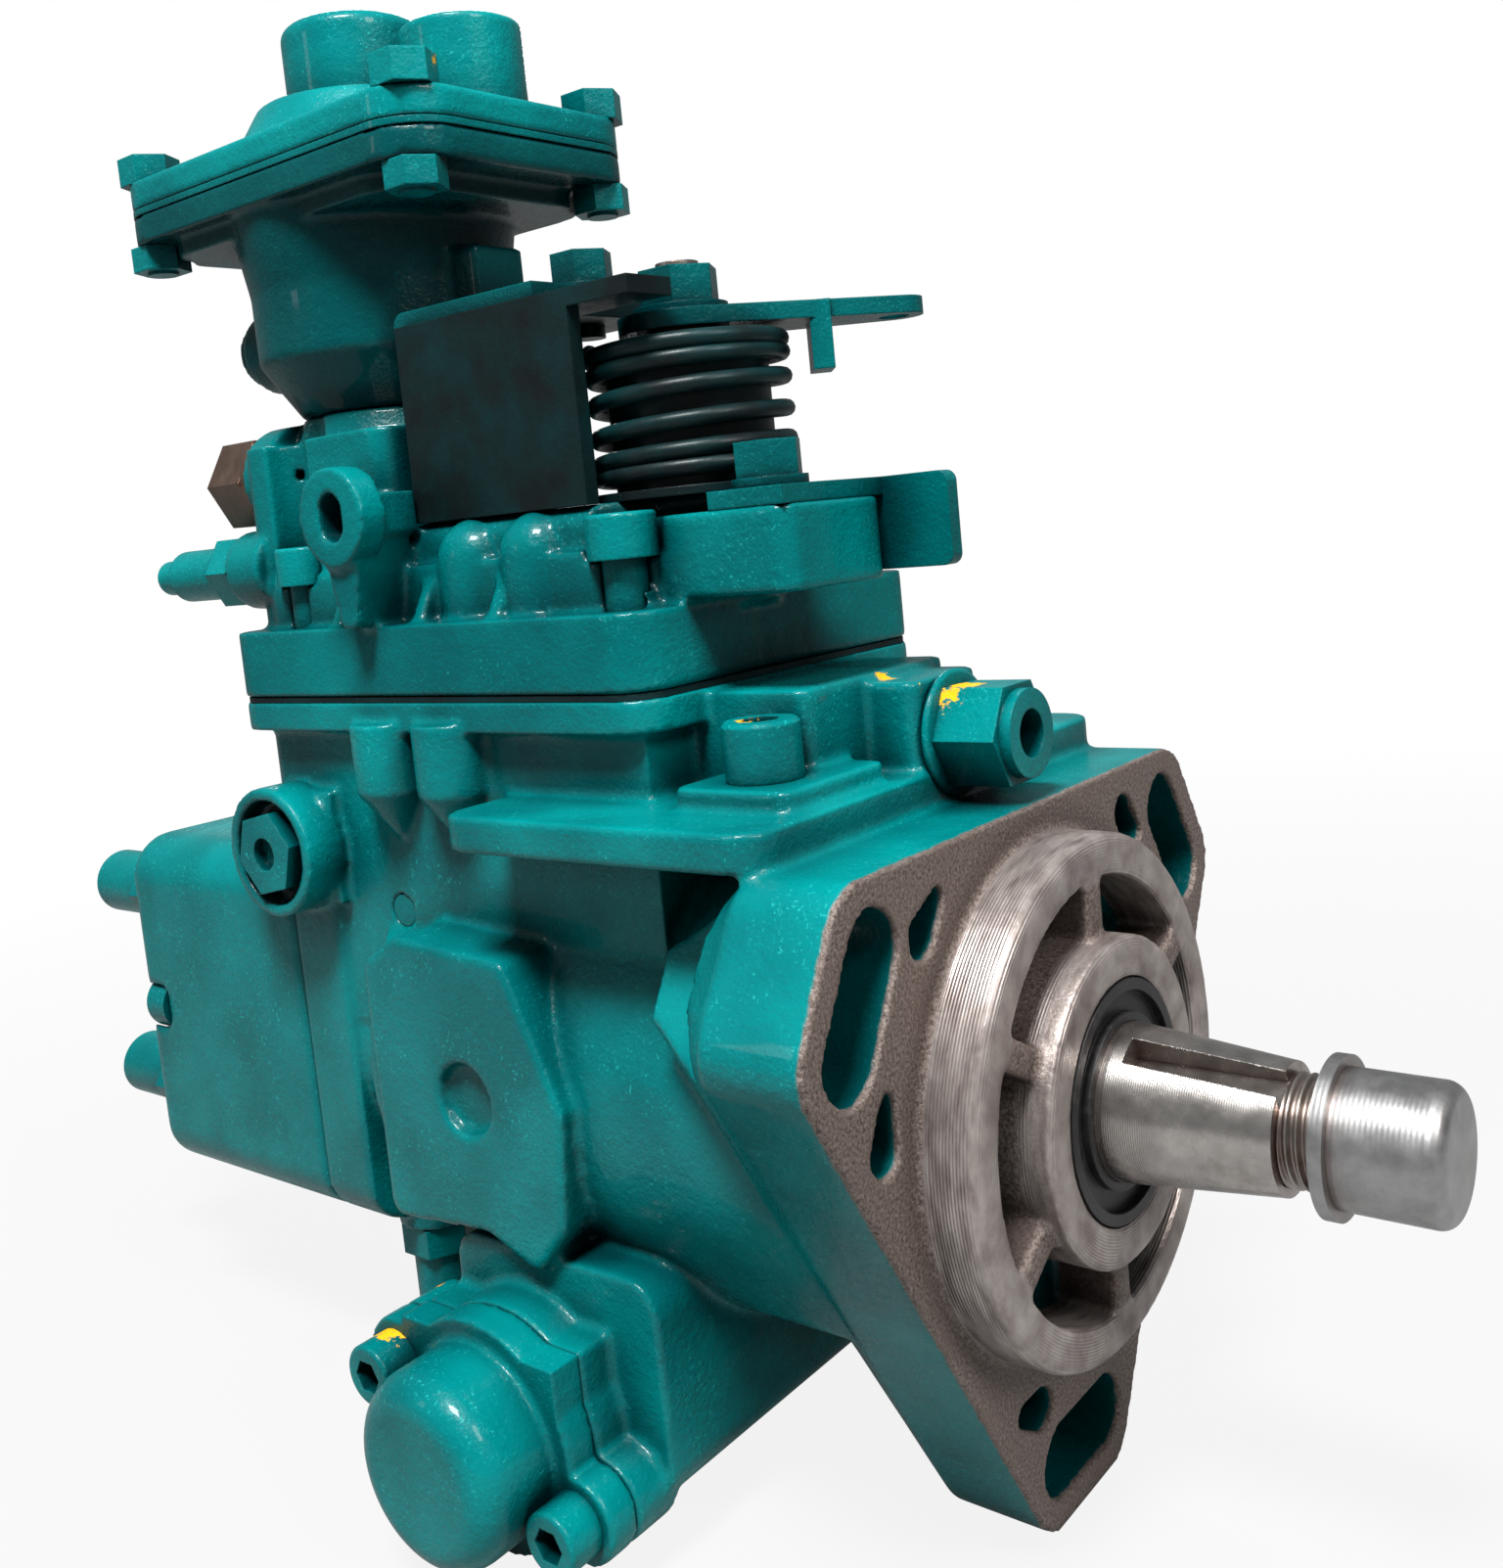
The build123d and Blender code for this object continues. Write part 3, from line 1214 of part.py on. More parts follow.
def boost_cover():
    x, y = BOOST_X, BOOST_Y
    z0 = BOOST_RIM_Z + BOOST_RIM_T + DIAPHRAGM_T
    z1 = z0 + BOOST_RIM_T
    body = z_plate(boost_outline(), z0, z1)
    body += z_cone(BOOST_DOME_R + 2, BOOST_DOME_R - 3, z1 - 1, BOOST_DOME_Z, x, y)
    body += z_rod(BOOST_TOWER_R, z1, BOOST_TOWER_Z, x, y)
    sx = x + BOOST_SIDE_DX
    body += z_rod(BOOST_SIDE_R, z1 - 1, BOOST_SIDE_Z, sx, y)
    body = fillet(body.edges().filter_by(GeomType.CIRCLE).group_by(Axis.Z)[-1], 2.0)
    body -= z_rod(DIAPHRAGM_R - 3, z0 - 1, z1 + 2, x, y)
    body -= z_rod(BOOST_TOWER_R - 3, z1, BOOST_TOWER_Z - 3, x, y)
    for bx, by in boost_bolt_places():
        body -= z_rod(2.5 + SEAT, z0 - 1, z1 + 1, bx, by)
        body -= z_rod(5.4, z1, z1 + 12, bx, by)
    return body


def boost_bolts():
    z1 = BOOST_RIM_Z + 2 * BOOST_RIM_T + DIAPHRAGM_T
    made = []
    for bx, by in boost_bolt_places():
        bolt = z_hex(8.5, z1, z1 + 4.5, bx, by) + z_rod(2.5, BOOST_RIM_Z - 4.5, z1, bx, by)
        made.append(bolt + z_hex(8.0, BOOST_RIM_Z - 4.0, BOOST_RIM_Z, bx, by))
    return group(made)


def boost_pin():
    z1 = BOOST_RIM_Z + BOOST_RIM_T - GAP
    body = z_rod(BOOST_PIN_R, BOOST_PIN_Z, z1, BOOST_X, BOOST_Y)
    body += z_rod(BOOST_PLATE_R, z1 - 2, z1, BOOST_X, BOOST_Y)
    groove = z_rod(BOOST_PIN_R + 1, BOOST_PIN_Z + 2, BOOST_PIN_Z + 8, BOOST_X, BOOST_Y)
    groove -= z_cone(BOOST_PIN_R - 1.6, BOOST_PIN_R - 0.2, BOOST_PIN_Z + 2, BOOST_PIN_Z + 8, BOOST_X, BOOST_Y)
    return body - groove


def boost_spring():
    z1 = BOOST_RIM_Z + BOOST_RIM_T - GAP - 2
    one = coil(BOOST_SPRING_R - 1, 0.9, 5, z1 - BOOST_SPRING_Z)
    return Pos(BOOST_X, BOOST_Y, BOOST_SPRING_Z) * one


# Plugs, screws and fittings

def rear_plug():
    x1 = TOWER_X0 - 1.5
    body = x_rod(REAR_PLUG_R, x1, x1 + 9, REAR_PLUG_Y, REAR_PLUG_Z)
    body += x_rod(7.6, x1 - 2, x1, REAR_PLUG_Y, REAR_PLUG_Z)
    return body + x_hex(14.0, x1 - 11, x1 - 2, REAR_PLUG_Y, REAR_PLUG_Z)


def full_load_screw():
    x1 = TOWER_X0 - 4
    body = x_rod(FULL_R, FULL_TIP_X, FULL_IN_X, FULL_Y, FULL_Z)
    body -= x_hex(3.0, FULL_TIP_X, FULL_TIP_X + 4, FULL_Y, FULL_Z)
    body += x_rod(FULL_BODY_R, FULL_TIP_X + 6, x1 - 6, FULL_Y, FULL_Z)
    return body + x_hex(FULL_HEX, x1 - 6, x1, FULL_Y, FULL_Z)


def inlet_fitting():
    x0 = INLET_FACE_X + WASHER_T
    x1 = x0 + INLET_HEX_T
    body = x_hex(INLET_HEX, x0, x1, INLET_Y, INLET_Z)
    body += x_rod(INLET_HEX / 2 - 0.6, x1, x1 + 1.6, INLET_Y, INLET_Z)
    body += x_rod(INLET_THREAD_R, INLET_FACE_X - 9.5, x0, INLET_Y, INLET_Z)
    return body - x_rod(INLET_BORE_R, INLET_FACE_X - 10, x1 + 2, INLET_Y, INLET_Z)


def regulating_valve():
    z0 = VALVE_SEAT_Z
    body = z_rod(VALVE_HEAD_R, z0, z0 + VALVE_HEAD_H, VALVE_X, VALVE_Y)
    body = chamfer(body.edges().sort_by(Axis.Z)[-1:], 0.5)
    body += z_rod(VALVE_R, z0 - 11.5, z0, VALVE_X, VALVE_Y)
    return body - z_hex(4.5, z0 + VALVE_HEAD_H - 3, z0 + VALVE_HEAD_H + 1, VALVE_X, VALVE_Y)


def side_plug():
    y0 = -PLUG_FACE_Y + PLUG_SINK
    body = y_plate(Pos(PLUG_X, PLUG_Z) * Rot(0, 0, 12) * hexagon(PLUG_HEX), -PLUG_FACE_Y - 0.8, y0)
    body += y_rod(PLUG_R, y0, y0 + 7.5, PLUG_X, PLUG_Z)
    return body - y_rod(2.6, y0 - 6, y0 - 3.2, PLUG_X, PLUG_Z)


def return_valve():
    z1 = RETURN_Z
    body = z_rod(RETURN_R, z1 - 1, z1 + 8.5, RETURN_X, RETURN_Y)
    body += z_hex(11.0, z1 - 5, z1, RETURN_X, RETURN_Y)
    body += z_rod(4.8, z1 - RETURN_DROP, z1 - 5, RETURN_X, RETURN_Y)
    return body - z_rod(2.0, z1 - RETURN_DROP - 1, z1 + 9, RETURN_X, RETURN_Y)


MAKERS = {
    "pump_housing": pump_housing,
    "shaft_seal": shaft_seal,
    "drive_shaft": drive_shaft,
    "shaft_cap": shaft_cap,
    "feed_ring": feed_ring,
    "feed_rotor": feed_rotor,
    "feed_vanes": feed_vanes,
    "drive_gear": drive_gear,
    "cross_disc": cross_disc,
    "cam_plate": cam_plate,
    "plunger": plunger,
    "roller_ring": roller_ring,
    "rollers": rollers,
    "advance_pin": advance_pin,
    "spring_bridge": spring_bridge,
    "plunger_springs": plunger_springs,
    "control_sleeve": control_sleeve,
    "distributor_head": distributor_head,
    "plunger_barrel": plunger_barrel,
    "head_plug": head_plug,
    "delivery_holders": delivery_holders,
    "head_bolts": head_bolts,
    "timing_piston": timing_piston,
    "timing_spring": timing_spring,
    "timing_covers": timing_covers,
    "timing_bolts": timing_bolts,
    "governor_shaft": governor_shaft,
    "governor_cage": governor_cage,
    "governor_sleeve": governor_sleeve,
    "tension_lever": tension_lever,
    "lever_pin": lever_pin,
    "governor_spring": governor_spring,
    "governor_cover": governor_cover,
    "cover_gasket": cover_gasket,
    "cover_bolts": cover_bolts,
    "throttle_bush": throttle_bush,
    "throttle_shaft": throttle_shaft,
    "throttle_lever": throttle_lever,
    "lever_nut": lever_nut,
    "return_spring": return_spring,
    "cable_bracket": cable_bracket,
    "bracket_bolts": bracket_bolts,
    "bent_plate": bent_plate,
    "tab_bracket": tab_bracket,
    "boost_housing": boost_housing,
    "diaphragm": diaphragm,
    "boost_cover": boost_cover,
    "boost_bolts": boost_bolts,
    "boost_pin": boost_pin,
    "boost_spring": boost_spring,
    "rear_plug": rear_plug,
    "full_load_screw": full_load_screw,
    "inlet_fitting": inlet_fitting,
    "regulating_valve": regulating_valve,
    "side_plug": side_plug,
    "return_valve": return_valve,
}

for name, maker in MAKERS.items():
    write(name, maker())
for i in range(WEIGHT_N):
    write("flyweight_" + str(i + 1), flyweight(i))
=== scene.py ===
from math import cos, pi, radians, sin

import bmesh
import bpy
import numpy as np
from mathutils import Matrix, Vector


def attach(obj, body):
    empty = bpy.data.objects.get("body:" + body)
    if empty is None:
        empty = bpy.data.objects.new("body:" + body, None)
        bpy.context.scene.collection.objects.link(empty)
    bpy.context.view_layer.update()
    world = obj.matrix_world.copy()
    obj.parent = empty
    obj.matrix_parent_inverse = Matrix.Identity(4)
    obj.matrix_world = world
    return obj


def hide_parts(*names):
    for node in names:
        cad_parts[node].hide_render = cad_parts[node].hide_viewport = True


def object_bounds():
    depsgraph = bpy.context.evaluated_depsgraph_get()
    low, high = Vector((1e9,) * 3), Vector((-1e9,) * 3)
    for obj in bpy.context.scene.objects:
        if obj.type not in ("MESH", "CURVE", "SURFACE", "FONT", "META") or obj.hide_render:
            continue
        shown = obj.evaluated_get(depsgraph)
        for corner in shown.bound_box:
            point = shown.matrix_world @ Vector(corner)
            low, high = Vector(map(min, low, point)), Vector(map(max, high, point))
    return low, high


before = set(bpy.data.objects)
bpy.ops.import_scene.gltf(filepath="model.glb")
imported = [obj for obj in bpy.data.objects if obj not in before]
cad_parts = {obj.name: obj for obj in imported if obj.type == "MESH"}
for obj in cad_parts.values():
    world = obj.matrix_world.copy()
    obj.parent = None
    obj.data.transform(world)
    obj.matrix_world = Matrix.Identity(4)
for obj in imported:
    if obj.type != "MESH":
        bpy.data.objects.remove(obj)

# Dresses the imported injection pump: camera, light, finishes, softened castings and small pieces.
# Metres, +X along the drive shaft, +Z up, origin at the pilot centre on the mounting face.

cad_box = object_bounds()
MM = 0.001
X, Y, Z = 0, 1, 2


# Camera, at the photograph's angle

FRAME_W = 1536
FRAME_H = 1602
FOCAL_PX = 1570.0
AXIS_PX = (755.0, 696.0)
CAMERA_AT = Vector((0.0947, -0.1741, 0.0781))
CAMERA_YAW = radians(39.13)
CAMERA_PITCH = radians(5.99)
CAMERA_ROLL = radians(-5.64)
SENSOR = 36.0


def make_camera():
    """Looks along yaw and pitch, rolled about the line of sight, with the photograph's centre as shift."""
    reach = cos(CAMERA_PITCH)
    ahead = Vector((-sin(CAMERA_YAW) * reach, cos(CAMERA_YAW) * reach, -sin(CAMERA_PITCH)))
    level = Vector((cos(CAMERA_YAW), sin(CAMERA_YAW), 0.0))
    above = level.cross(ahead)
    right = cos(CAMERA_ROLL) * level + sin(CAMERA_ROLL) * above
    up = cos(CAMERA_ROLL) * above - sin(CAMERA_ROLL) * level
    data = bpy.data.cameras.new("camera")
    data.sensor_fit = "VERTICAL"
    data.sensor_height = SENSOR
    data.lens = FOCAL_PX * SENSOR / FRAME_H
    data.shift_x = (FRAME_W / 2 - AXIS_PX[0]) / FRAME_H
    data.shift_y = (AXIS_PX[1] - FRAME_H / 2) / FRAME_H
    camera = bpy.data.objects.new("camera", data)
    turn = Matrix((right, up, -ahead)).transposed()
    camera.matrix_world = Matrix.Translation(CAMERA_AT) @ turn.to_4x4()
    bpy.context.scene.collection.objects.link(camera)
    bpy.context.scene.camera = camera


# Shader maths

class Field:
    """A number or colour that varies over a surface. Used in an expression, it adds its own Math nodes."""

    def __init__(self, tree, socket):
        self.tree = tree
        self.socket = socket

    def maths(self, operation, *terms, clamp=False):
        node = self.tree.nodes.new("ShaderNodeMath")
        node.operation = operation
        node.use_clamp = clamp
        for place, term in zip(node.inputs, terms):
            feed(self.tree, place, term)
        return Field(self.tree, node.outputs[0])

    def __add__(self, other):
        return self.maths("ADD", self, other)

    __radd__ = __add__

    def __sub__(self, other):
        return self.maths("SUBTRACT", self, other)

    def __rsub__(self, other):
        return self.maths("SUBTRACT", other, self)

    def __mul__(self, other):
        return self.maths("MULTIPLY", self, other)

    __rmul__ = __mul__

    def __truediv__(self, other):
        return self.maths("DIVIDE", self, other)

    def __rtruediv__(self, other):
        return self.maths("DIVIDE", other, self)

    def __pow__(self, other):
        return self.maths("POWER", self, other)

    def sine(self):
        return self.maths("SINE", self)

    def size(self):
        return self.maths("ABSOLUTE", self)

    def clip(self):
        return self.maths("ADD", self, 0.0, clamp=True)

    def rise(self, low, high):
        """0 below low, 1 above high, straight between. It falls instead where high is under low."""
        return ((self - low) * (1.0 / (high - low))).clip()


def feed(tree, place, value):
    if isinstance(value, Field):
        tree.links.new(value.socket, place)
    else:
        place.default_value = value


class Finish:
    """One material, with its Principled shader and the fields that its patterns are made of."""

    def __init__(self, name):
        self.material = bpy.data.materials.new(name)
        self.material.use_nodes = True
        self.tree = self.material.node_tree
        self.tree.nodes.clear()
        self.shader = self.tree.nodes.new("ShaderNodeBsdfPrincipled")
        end = self.tree.nodes.new("ShaderNodeOutputMaterial")
        self.tree.links.new(self.shader.outputs[0], end.inputs["Surface"])
        self.place = self.add("ShaderNodeTexCoord", "Object")

    def add(self, kind, output=0, settings=None, **sockets):
        """Adds a node of any kind: its settings first, then the values or links of its sockets."""
        node = self.tree.nodes.new(kind)
        for key, value in (settings or {}).items():
            setattr(node, key, value)
        for key, value in sockets.items():
            feed(self.tree, node.inputs[key.replace("_", " ")], value)
        return Field(self.tree, node.outputs[output])

    def noise(self, grain_mm, detail=3.0, rough=0.55, stretch=None):
        """Cloudy noise whose lumps are grain_mm across, stretched along the axes where asked."""
        place = self.place
        if stretch:
            place = self.add("ShaderNodeMapping", Vector=self.place, Scale=stretch)
        scale = 1.0 / (grain_mm * MM)
        return self.add("ShaderNodeTexNoise", Vector=place, Scale=scale, Detail=detail, Roughness=rough)

    def axis(self, index):
        """One coordinate of the surface point, in millimetres."""
        return self.add("ShaderNodeSeparateXYZ", index, Vector=self.place) * (1.0 / MM)

    def ball(self, centre_mm, radius_mm):
        """1 at a place on the object, falling to 0 at the radius, with a ragged edge."""
        centre = [c * MM for c in centre_mm]
        away = self.add("ShaderNodeVectorMath", "Value", {"operation": "DISTANCE"}, Vector=self.place)
        away.socket.node.inputs[1].default_value = centre
        ragged = self.noise(radius_mm * 0.7, 4.0, 0.7)
        return (away * (1.0 / MM) + (ragged - 0.5) * (radius_mm * 2.2)).rise(radius_mm, radius_mm * 0.86)

    def blend(self, mask, first, second):
        """The first colour where the mask is 0, and the second where it is 1."""
        node = self.tree.nodes.new("ShaderNodeMix")
        node.data_type = "RGBA"
        feed(self.tree, node.inputs[0], mask)
        for place, value in ((node.inputs[6], first), (node.inputs[7], second)):
            feed(self.tree, place, value if isinstance(value, Field) else (*value, 1.0))
        return Field(self.tree, node.outputs[2])

    def hollows(self, reach_mm):
        """1 deep in a corner, 0 on open faces."""
        open_sky = self.add("ShaderNodeAmbientOcclusion", "AO", {"samples": 6}, Distance=reach_mm * MM)
        return (1.0 - open_sky).clip()

    def relief(self, height, depth_mm, strength=1.0, round_mm=0.0):
        """Bump from a height field, over edges rounded by the given radius."""
        bump = self.tree.nodes.new("ShaderNodeBump")
        feed(self.tree, bump.inputs["Height"], height)
        bump.inputs["Distance"].default_value = depth_mm * MM
        bump.inputs["Strength"].default_value = strength
        if round_mm:
            soft = self.add("ShaderNodeBevel", 0, {"samples": 4}, Radius=round_mm * MM)
            self.tree.links.new(soft.socket, bump.inputs["Normal"])
        self.tree.links.new(bump.outputs[0], self.shader.inputs["Normal"])

    def set(self, **sockets):
        for key, value in sockets.items():
            place = self.shader.inputs[key.replace("_", " ")]
            if not isinstance(value, Field) and isinstance(value, tuple):
                value = (*value, 1.0)
            feed(self.tree, place, value)


# Colours

# The darkest teal is painted shade, laid into corners, slot insides and parts put in shade.
TEAL_PAINTED_SHADE = (0.0, 0.022, 0.026)
TEAL = (0.0, 0.120, 0.126)
TEAL_LIT = (0.0, 0.21, 0.212)
TEAL_SPECK = (0.02, 0.42, 0.40)
CHIP = (0.85, 0.42, 0.01)
CAST = (0.31, 0.26, 0.235)
CAST_DARK = (0.10, 0.075, 0.065)
TURNED = (0.46, 0.415, 0.39)
STEEL = (0.50, 0.47, 0.44)
RUST = (0.13, 0.055, 0.03)
BLACK = (0.004, 0.008, 0.009)
OVERSPRAY = (0.0, 0.035, 0.038)
WORN = (0.04, 0.12, 0.12)
RUBBER = (0.008, 0.008, 0.009)
DUST = (0.10, 0.085, 0.08)
TURNED_DARK = (0.20, 0.165, 0.155)
STAIN = (0.20, 0.15, 0.13)
PAINTED_HOLLOW_SHADE = (0.022, 0.013, 0.012)
PAINTED_RECESS_SHADE = (0.07, 0.05, 0.045)
COAT = 0.16


def enamel_colour(finish, painted_shade=0.0):
    """Teal that drifts in soft clouds, freckled with fine light specks, with painted shade in the corners
    and an even painted shade laid over the whole part where asked.
    """
    clouds = finish.noise(22.0, 2.0)
    base = finish.blend(clouds.rise(0.35, 0.68), TEAL, TEAL_LIT)
    specks = finish.noise(0.55, 2.0, 0.7).rise(0.60, 0.72) * finish.noise(7.0).rise(0.42, 0.6)
    base = finish.blend(specks * 0.8, base, TEAL_SPECK)
    # Painted shade: corners found by ambient occlusion, plus an even amount for parts put in shade, darken
    # the teal.
    shade = (finish.hollows(8.0) * 1.5 + painted_shade).clip()
    return finish.blend(shade, base, TEAL_PAINTED_SHADE)


def enamel_height(finish):
    """Orange peel of the sprayed coat over the sandy skin of the casting."""
    peel = finish.noise(1.6, 2.0)
    sand = finish.noise(0.5, 3.0, 0.6)
    return peel + sand * 0.7


# Its shade argument lays an even painted shade over the whole part.
def enamel(name, chips=(), painted_shade=0.0, round_mm=0.0):
    """Glossy enamel, chipped to yellow at the named places."""
    finish = Finish(name)
    colour = enamel_colour(finish, painted_shade)
    rough = finish.noise(3.0) * 0.22 + 0.16
    for centre, radius in chips:
        mask = finish.ball(centre, radius)
        colour = finish.blend(mask, colour, CHIP)
        rough = rough + mask * 0.25
    finish.set(Base_Color=colour, Roughness=rough, Coat_Weight=COAT, Coat_Roughness=0.05,
               Specular_IOR_Level=0.08)
    finish.relief(enamel_height(finish), 0.24, 0.6, round_mm)
    return finish.material


SLOT_ANGLES = (30, 150, 270)
SLOT_CIRCLE_R = 48.5
HOUSING_CHIPS = (
    ((-28.0, -3.4, 43.2), 1.5),
    ((-19.0, -3.1, 56.0), 1.6),
    ((-11.2, -5.8, 56.0), 2.0),
    ((-86, -39, -31), 2.6),
)


def housing_finish():
    """Enamel behind the mounting face, bare cast and turned metal on the face, pilot and hub."""
    finish = Finish("housing_enamel_and_bare_front")
    x = finish.axis(X)
    y = finish.axis(Y)
    z = finish.axis(Z)
    away = (y * y + z * z) ** 0.5
    drift = finish.noise(2.2, 3.0) - 0.5
    bare = (x + drift * 0.9).rise(-0.9, -0.5)
    grain = finish.noise(0.45, 5.0, 0.7)
    stain = finish.noise(9.0, 3.0)
    skin = finish.blend(grain.rise(0.38, 0.62), CAST_DARK, CAST)
    skin = finish.blend(stain.rise(0.5, 0.8) * 0.5, skin, STAIN)
    turning = (x * 14.0).sine() * 0.5 + 0.5
    facing = (away * 16.0).sine() * 0.5 + 0.5
    rim = away.rise(27.6, 28.4) * x.rise(0.4, 0.9)
    hub = away.rise(21.4, 20.8) * x.rise(5.0, 6.0)
    bright = (rim + hub).clip()
    lines = facing * x.rise(6.6, 7.2) + turning * x.rise(7.2, 6.6)
    streaks = finish.noise(1.2, 3.0, stretch=(1.0, 0.25, 0.25)).rise(0.3, 0.7)
    turned = finish.blend(streaks, TURNED_DARK, TURNED)
    metal = finish.blend(bright, skin, turned)
    # Painted shade: the recess between the hub and the pilot rim is darkened.
    recess_shade = away.rise(28.2, 27.6) * x.rise(6.9, 6.3) * away.rise(21.0, 21.6)
    metal = finish.blend(recess_shade * 0.6, metal, PAINTED_RECESS_SHADE)
    # Painted shade: the bare metal darkens to near black in its hollows.
    metal = finish.blend((finish.hollows(5.0) * 1.1).clip(), metal, PAINTED_HOLLOW_SHADE)
    colour = enamel_colour(finish)
    # Painted shade: the insides of the three mounting slots are darkened to the darkest teal.
    for turn in SLOT_ANGLES:
        side, up = cos(turn * pi / 180), sin(turn * pi / 180)
        across = y * side + z * up - SLOT_CIRCLE_R
        along = z * side - y * up
        slot_shade = (across * across).rise(33, 29) * (along * along).rise(139, 125) * x.rise(-15, -14)
        colour = finish.blend(slot_shade * 0.75, colour, TEAL_PAINTED_SHADE)
    for centre, radius in HOUSING_CHIPS:
        colour = finish.blend(finish.ball(centre, radius), colour, CHIP)
    colour = finish.blend(bare, colour, metal)
    rough = finish.noise(3.0) * 0.22 + 0.16
    bare_rough = 0.42 + grain * 0.2 - bright * 0.2 + lines * bright * 0.08
    rough = rough * (1.0 - bare) + bare_rough * bare
    finish.set(Base_Color=colour, Roughness=rough, Metallic=bare * 0.6,
               Coat_Weight=(1.0 - bare) * COAT, Coat_Roughness=0.05, Specular_IOR_Level=0.12)
    cast_height = grain * 1.6 * (1.0 - bright) + lines * bright * 0.35
    finish.relief(enamel_height(finish) * (1.0 - bare) + cast_height * bare, 0.24, 0.65)
    return finish.material


def steel(name, colour=STEEL, rings_mm=0.28, stain=0.3, rough=0.28, along=X, round_mm=0.25):
    """Turned steel: fine rings along its axis, a cloudy grey and brown stains in patches."""
    finish = Finish(name)
    along_mm = finish.axis(along)
    rings = (along_mm * (2 * pi / rings_mm)).sine() * 0.5 + 0.5
    clouds = finish.noise(4.0, 4.0, 0.6)
    tone = finish.blend(clouds.rise(0.3, 0.75), tuple(c * 0.62 for c in colour), colour)
    brown = finish.noise(6.0, 5.0, 0.7).rise(0.55, 0.72) * stain
    tone = finish.blend((brown + finish.hollows(3.0) * 0.9).clip(), tone, RUST)
    finish.set(Base_Color=tone, Metallic=0.95, Roughness=clouds * 0.18 + rough - 0.05 + brown * 0.3)
    finish.relief(rings * 0.3 + finish.noise(0.4) * 0.3, 0.05, 0.5, round_mm)
    return finish.material


def dark_steel(name, rough=0.38, round_mm=0.3):
    """Pressed steel under a thin dark coat, with teal overspray in soft patches and worn bright spots."""
    finish = Finish(name)
    spray = finish.noise(9.0, 3.0).rise(0.35, 0.7) * 0.55
    colour = finish.blend(spray.clip(), BLACK, OVERSPRAY)
    worn = finish.noise(0.8, 4.0, 0.7).rise(0.66, 0.74)
    colour = finish.blend(worn * 0.35, colour, WORN)
    finish.set(Base_Color=colour, Metallic=0.15, Roughness=finish.noise(3.0) * 0.25 + rough - 0.12,
               Coat_Weight=0.05, Coat_Roughness=0.2, Specular_IOR_Level=0.2)
    finish.relief(finish.noise(0.9, 3.0) + finish.noise(0.35) * 0.4, 0.08, 0.5, round_mm)
    return finish.material


def rubber(name):
    """Matt black rubber with a fine pebbled skin and a little grey dust."""
    finish = Finish(name)
    dust = finish.noise(1.5, 4.0, 0.7).rise(0.5, 0.8)
    colour = finish.blend(dust * 0.4, RUBBER, DUST)
    finish.set(Base_Color=colour, Roughness=dust * 0.2 + 0.5)
    finish.relief(finish.noise(0.5), 0.05, 0.5, 0.3)
    return finish.material


# Meshes

def grid_piece(name, points, wrap_u=False, wrap_v=False, close_u=False):
    """A mesh from a grid of points, shape (rows, columns, 3). wrap_v joins the last column to the first and
    wrap_u the last row to the first. close_u caps the first and last row with a fan round its mean point."""
    rows, cols = points.shape[:2]
    i = np.arange(rows if wrap_u else rows - 1)
    j = np.arange(cols if wrap_v else cols - 1)
    i, j = [a.ravel() for a in np.meshgrid(i, j, indexing="ij")]
    a = i * cols + j
    b = i * cols + (j + 1) % cols
    c = ((i + 1) % rows) * cols + (j + 1) % cols
    d = ((i + 1) % rows) * cols + j
    quads = np.stack([a, b, c, d], axis=1)
    verts = points.reshape(-1, 3)
    faces = quads.tolist()
    if close_u:
        ring = np.arange(cols)
        nxt = (ring + 1) % cols
        first = len(verts)
        last_row = (rows - 1) * cols
        verts = np.vstack([verts, points[0].mean(axis=0), points[-1].mean(axis=0)])
        faces += np.stack([nxt, ring, np.full(cols, first)], axis=1).tolist()
        faces += np.stack([last_row + ring, last_row + nxt, np.full(cols, first + 1)], axis=1).tolist()
    mesh = bpy.data.meshes.new(name)
    mesh.from_pydata(verts.tolist(), [], faces)
    mesh.validate()
    mesh.shade_smooth()
    return stand(name, mesh)


def stand(name, mesh):
    obj = bpy.data.objects.new(name, mesh)
    bpy.context.scene.collection.objects.link(obj)
    outward(mesh)
    return obj


def outward(mesh):
    work = bmesh.new()
    work.from_mesh(mesh)
    bmesh.ops.recalc_face_normals(work, faces=work.faces)
    work.to_mesh(mesh)
    work.free()


def tube_along(name, path, radius, sides=14):
    """A round rod along a path: at each point, a circle in the plane square to the path, with one side kept
    level, so that the tube doesn't twist."""
    path = np.asarray(path)
    ahead = np.gradient(path, axis=0)
    ahead /= np.linalg.norm(ahead, axis=1)[:, None]
    side = np.cross(ahead, (0.0, 0.0, 1.0))
    flat = np.linalg.norm(side, axis=1) < 1e-3
    side[flat] = (1.0, 0.0, 0.0)
    side /= np.linalg.norm(side, axis=1)[:, None]
    up = np.cross(side, ahead)
    turn = np.linspace(0.0, 2 * pi, sides, endpoint=False)
    ring = side[:, None, :] * np.cos(turn)[None, :, None] + up[:, None, :] * np.sin(turn)[None, :, None]
    return grid_piece(name, path[:, None, :] + radius * ring, wrap_v=True, close_u=True)


